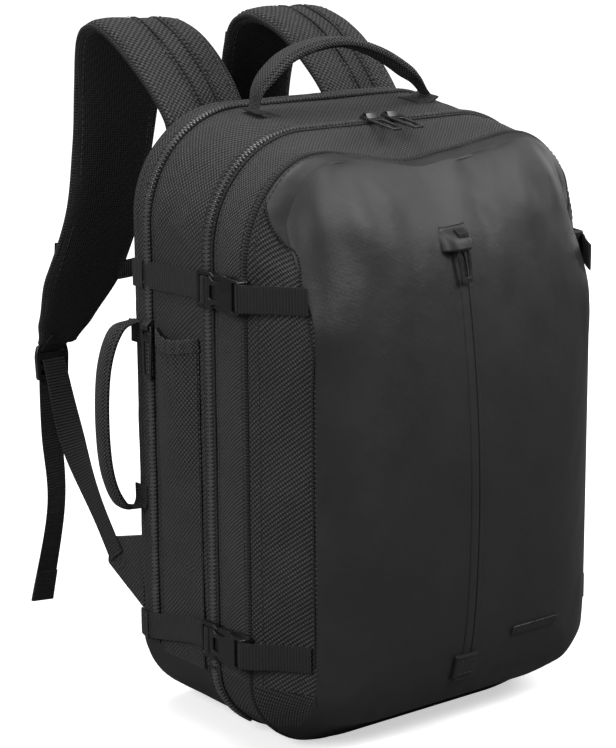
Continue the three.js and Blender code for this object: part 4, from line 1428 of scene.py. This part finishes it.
def webbing_tail(side_name, lock_top):
    """The loose end: it hangs from the lock in a slow curve, and its tip is folded over."""
    tail = f"webbing_tail_{side_name}"
    head = lock_top + np.array([0, 3.0, -10]) * MM
    foot = np.array([middle(tail, X) + SIDES[side_name] * 4 * MM, high(tail, Y) - 3 * MM,
                     low(tail, Z)])
    sway = np.array([5, -9, 0]) * MM
    points = [head, head + (foot - head) * 0.3 + sway * 0.4, head + (foot - head) * 0.6 + sway,
              foot]
    path = resample(points, 90)
    t = np.linspace(0, 1, len(path))
    turn = np.radians(14) * np.sin(math.pi * t) * smooth(t, 0.1, 0.6)
    side = np.stack([np.cos(turn), np.sin(turn), np.zeros(len(t))], axis=1)
    fold = slice(-12, None)
    shape = Shape()
    shape.sweep(path, side, band_profile())
    shape.sweep(path[fold] - BACK * 1.5 * MM, side[fold], band_profile())
    settle(shape.piece(f"{tail}_band", webbing), f"tail_{side_name}_body", "webbing", tail)


def lower_webbing(side_name, lock_top):
    """The webbing from the lock down to the base tab, turned to lie flat against the tab."""
    node = f"lower_webbing_{side_name}"
    tab_x = middle(f"base_tab_{side_name}", X)
    lean = SIDES[side_name]
    outward = lean * np.sign(abs(lock_top[X]) - abs(tab_x))
    foot = np.array([tab_x + outward * 2.6 * MM, low(node, Y) + 9 * MM, low(node, Z) + 8 * MM])
    start = lock_top - np.array([0, 2.6, 11]) * MM
    path = resample([start, (start + foot) / 2 + BACK * 12 * MM, foot], 90)
    turned = unit(np.array([0, start[Z] - foot[Z], foot[Y] - start[Y]])) * lean
    ease = smooth(np.linspace(0, 1, len(path)), 0, 0.85)[:, None]
    side = unit(RIGHT * (1 - ease) + turned * ease)
    shape = Shape()
    shape.sweep(path, side, band_profile())
    hinge_over(shape.piece(f"{node}_band", webbing), (REAR, f"strap_{side_name}_body"),
               tuple(foot), tuple(start), "webbing", node)

    along = unit(foot - path[-12])
    for face in (-1, 1):
        out = face * RIGHT
        x = foot[X] if face == outward else tab_x
        centre = np.array([x, foot[Y] - 4 * MM, foot[Z] - 2 * MM]) + out * 1.4 * MM
        box_stitch(REAR, centre, along, turned, out, 10 * MM, WEBBING - 5 * MM)


def base_tab(side_name):
    """The wedge of cloth that holds the lower webbing."""
    tab = f"base_tab_{side_name}"
    back, tip = low(tab, Y) - 3 * MM, high(tab, Y)
    bottom, top = low(tab, Z), high(tab, Z)
    outline = [(back, bottom), (tip - 2 * MM, bottom + 26 * MM), (tip - 7 * MM, bottom + 48 * MM),
               (back, top)]
    shape = Shape()
    place = basis(BACK, UP, RIGHT, (middle(tab, X), 0, 0))
    moulded(shape, [rounded(outline, 3 * MM)], 2.8 * MM, place, 1.2 * MM)
    settle(shape.piece(f"{tab}_cloth", twill), REAR, "twill", tab)


def strap_adjuster(side_name):
    """The ladder lock, the loose tail, and the webbing from the lock to the base tab."""
    lock_top = ladder_lock(side_name)
    webbing_tail(side_name, lock_top)
    lower_webbing(side_name, lock_top)
    base_tab(side_name)


def chest_strap():
    for side_name, lean in SIDES.items():
        node = f"sternum_webbing_{side_name}"
        a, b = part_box(node)
        near, far = (a, b) if lean > 0 else (b, a)
        z = middle(node, Z)
        start = np.array([far[X] - lean * 4 * MM, a[Y] + 1 * MM, z + 1 * MM])
        stop = np.array([near[X] + lean * 1 * MM, b[Y] - 1 * MM, z - 1 * MM])
        sag = (start + stop) / 2 + np.array([0, 1, -3]) * MM
        sewn = start + np.array([lean * 5, -6, 0]) * MM
        shape = Shape()
        shape.sweep(resample([sewn, start, sag, stop], 60), UP, band_profile(b[Z] - a[Z] - 6 * MM))
        settle(shape.piece(f"{node}_band", webbing), f"sternum_{side_name}_body", "webbing", node)
    male, pattern = "sternum_clip_male", "clip_male_upper_left"
    scale = (high(male, Z) - low(male, Z)) / (high(pattern, Z) - low(pattern, Z))
    origin = (low(male, X) + high(pattern, Y) * scale, middle(male, Y), middle(male, Z))
    clip_pieces("sternum_clip", basis(-RIGHT, UP, BACK, origin), scale, "sternum_male_body",
                "sternum_left_body", (male, "sternum_clip_female"))


# ---------------------------------------------------------------- back panel and inside
def pad_height(x, z):
    """Pads on the back panel: two columns with a channel between, cut by two cross channels."""
    reach = 120 * MM
    centre = smooth(np.abs(x), 8 * MM, 20 * MM)
    outer = 1 - smooth(np.abs(x), reach - 14 * MM, reach)
    total = centre * outer
    for cut in (0.165, 0.300):
        total = total * (1 - 0.85 * np.exp(-((z - cut) / (7 * MM)) ** 2))
    ends = smooth(z, 30 * MM, 46 * MM) * (1 - smooth(z, 0.405, 0.425))
    return total * ends


def back_panel():
    trim = 12.5 * MM
    half, crown, foot = HALF_WIDTH - trim, CROWN_RADIUS - trim, BASE_RADIUS - trim
    top, bottom = roof_at(BACK_Y) - trim, trim
    z = (top + bottom) / 2 - crowded(180) * (top - bottom)
    s = -2 * crowded(130)
    x, z = np.broadcast_arrays(s * half_at(z, half, bottom, top, crown, foot)[:, None],
                               z[:, None])
    edge = np.minimum(1 - np.abs(s), np.minimum(top - z, z - bottom) / half)
    y = BACK_Y - 9 * MM + 8 * MM * smooth(edge, 0, 0.12) + 7.5 * MM * pad_height(x, z)
    grid = tucked(np.stack([x, y, z], axis=-1))
    shape = Shape()
    shape.sheet(raised(grid, ripples(grid, 30 * MM, 61) * 0.4 * MM))
    settle(shape.piece("back_panel_pad", air_mesh), REAR, "air_mesh", "back_panel")


QUILT = 60 * MM


def flat_sheet(name, node, body, seed, swell):
    """A flat inner wall as cloth: the node's own outline, softly quilted."""
    a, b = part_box(node)
    trim = HALF_WIDTH - b[X]
    foot = BASE_RADIUS - trim if a[Z] < TRAY_TOP / 2 else 0
    z = np.linspace(b[Z], a[Z], 70)[:, None]
    reach = half_at(z, b[X], a[Z], b[Z], CROWN_RADIUS - trim, foot)
    x, z = np.broadcast_arrays(np.linspace(-1, 1, 60) * np.maximum(reach, 1 * MM), z)
    diamonds = np.abs(np.sin((x + z) * math.pi / QUILT) * np.sin((x - z) * math.pi / QUILT))
    creases = ripples(np.stack([x, 0 * x, z], axis=-1), 60 * MM, seed) * 0.5 * MM
    y = a[Y] + 1.2 * MM - swell * diamonds**0.5 + creases
    inset = np.clip(x, 6 * MM - reach, reach - 6 * MM)
    shape = Shape()
    shape.sheet(tucked(np.stack([inset, y, z], axis=-1)), min(b[Y] - a[Y], 3 * MM))
    settle(shape.piece(name, lining), body, "pocket_cloth", node)


# ---------------------------------------------------------------- hard pieces of the frame
HARD_EDGE = 0.45 * MM
WELD_GAP = 1e-5
FLAT_WITHIN = math.radians(2)
ROUND_ABOVE = math.radians(25)
CREASE_ABOVE = math.radians(40)


def finish_hardware():
    """Sliders and pullers stay the frame's own solids: plastic, with rounded edges."""
    names = [n for n in frame["nodes"] if n.endswith(("_slider", "_puller"))]
    for name in names:
        thing = frame["nodes"][name]
        thing.data.materials.clear()
        thing.data.materials.append(plastic)
        weld = thing.modifiers.new("weld", "WELD")
        weld.merge_threshold = WELD_GAP
        flat = thing.modifiers.new("flat faces", "DECIMATE")
        flat.decimate_type = "DISSOLVE"
        flat.angle_limit = FLAT_WITHIN
        edge = thing.modifiers.new("rounded edges", "BEVEL")
        edge.width = HARD_EDGE
        edge.segments = 3
        edge.limit_method = "ANGLE"
        edge.angle_limit = ROUND_ABOVE
        for face in thing.data.polygons:
            face.use_smooth = True
        crease = thing.modifiers.new("sharp folds", "EDGE_SPLIT")
        crease.split_angle = CREASE_ABOVE


def badge():
    """A plain raised bar, with nothing written on it."""
    x, z = middle("badge", X), middle("badge", Z)
    here = face_points(np.array([x - MM, x + MM, x]), np.array([z, z, z + MM]), 2 * MM)
    along = unit(here[1] - here[0])
    up = unit(here[2] - (here[0] + here[1]) / 2)
    half = (high("badge", X) - low("badge", X)) / 2
    outline = [(-half, -3.4 * MM), (half - 2.5 * MM, -3.4 * MM), (half, 3.4 * MM),
               (2.5 * MM - half, 3.4 * MM)]
    origin = (here[0] + here[1]) / 2
    place = basis(along, up, np.cross(along, up), origin)
    shape = Shape()
    moulded(shape, [rounded(outline, 1.2 * MM)], 3.4 * MM, place, 0.9 * MM)
    settle(shape.piece("plain_badge", badge_plastic), COVER, "badge_plastic", "badge")


# ---------------------------------------------------------------- stage
VIEW_TARGET = Vector((0, 0, 0.225))
VIEW_AZIMUTH = math.radians(39.6)
VIEW_ELEVATION = math.radians(14.24)
VIEW_DISTANCE = 1.784
VIEW_LENS = 113.1
VIEW_SHIFT = (-0.0997, 0.0576)
ROOM_LIGHT = 0.16


def stage():
    mesh = bpy.data.meshes.new("floor")
    rim = [(FLOOR_REACH * math.cos(a), FLOOR_REACH * math.sin(a), 0.0)
           for a in np.linspace(0, 2 * math.pi, 48, endpoint=False)]
    mesh.from_pydata(rim, [], [range(len(rim))])
    mesh.materials.append(floor_look())
    floor = bpy.data.objects.new("floor", mesh)
    bpy.context.scene.collection.objects.link(floor)

    world = bpy.data.worlds.new("soft room")
    world.use_nodes = True
    tree = world.node_tree
    room = tree.nodes["Background"]
    room.inputs["Color"].default_value = (1, 1, 1, 1)
    seen = tree.nodes.new("ShaderNodeLightPath").outputs["Is Camera Ray"]
    strength = tree.nodes.new("ShaderNodeMapRange")
    strength.inputs["To Min"].default_value = ROOM_LIGHT
    tree.links.new(seen, strength.inputs["Value"])
    tree.links.new(strength.outputs[0], room.inputs["Strength"])
    bpy.context.scene.world = world
    bpy.context.scene.view_settings.view_transform = "Standard"

    lamps = [("key", (0.9, -1.5, 1.9), 1.3, 42), ("left fill", (-2.0, -0.3, 1.2), 1.0, 30),
             ("top", (-0.2, 0.5, 2.2), 1.4, 26), ("right rim", (2.0, 0.2, 1.0), 1.0, 10)]
    for name, place, size, power in lamps:
        lamp = bpy.data.lights.new(name, "AREA")
        lamp.size = size
        lamp.energy = power
        thing = bpy.data.objects.new(name, lamp)
        thing.location = place
        thing.visible_camera = False
        toward = VIEW_TARGET - Vector(place)
        thing.rotation_euler = toward.to_track_quat("-Z", "Y").to_euler()
        bpy.context.scene.collection.objects.link(thing)


def camera():
    lens = bpy.data.cameras.new("camera")
    lens.lens = VIEW_LENS
    lens.sensor_width = 36
    lens.shift_x, lens.shift_y = VIEW_SHIFT
    lens.clip_end = 50
    back = Vector((-math.sin(VIEW_AZIMUTH) * math.cos(VIEW_ELEVATION),
                   -math.cos(VIEW_AZIMUTH) * math.cos(VIEW_ELEVATION),
                   math.sin(VIEW_ELEVATION)))
    thing = bpy.data.objects.new("camera", lens)
    thing.location = VIEW_TARGET + back * VIEW_DISTANCE
    thing.rotation_euler = (-back).to_track_quat("-Z", "Y").to_euler()
    bpy.context.scene.collection.objects.link(thing)
    bpy.context.scene.camera = thing


# ---------------------------------------------------------------- the backpack
rear_cloth()
edge_binding()
zips()
cover_cloth()
base_cloth()
front_sheet()
front_placket()
badge()
for side_name in SIDES:
    side_pocket(side_name)
    shoulder_strap(side_name)
    strap_adjuster(side_name)
    for row in ("upper", "lower"):
        compression_strap(row, side_name)
top_handle()
side_handle()
chest_strap()
back_panel()
flat_sheet("laptop_divider_pad", "laptop_divider", REAR, 71, 2 * MM)
flat_sheet("pocket_lining_cloth", "pocket_lining", COVER, 72, 0.5 * MM)
finish_hardware()
for body, sewn in stitches.items():
    settle(sewn.piece(f"stitching_{body}", thread), body, "webbing")
stage()
camera()
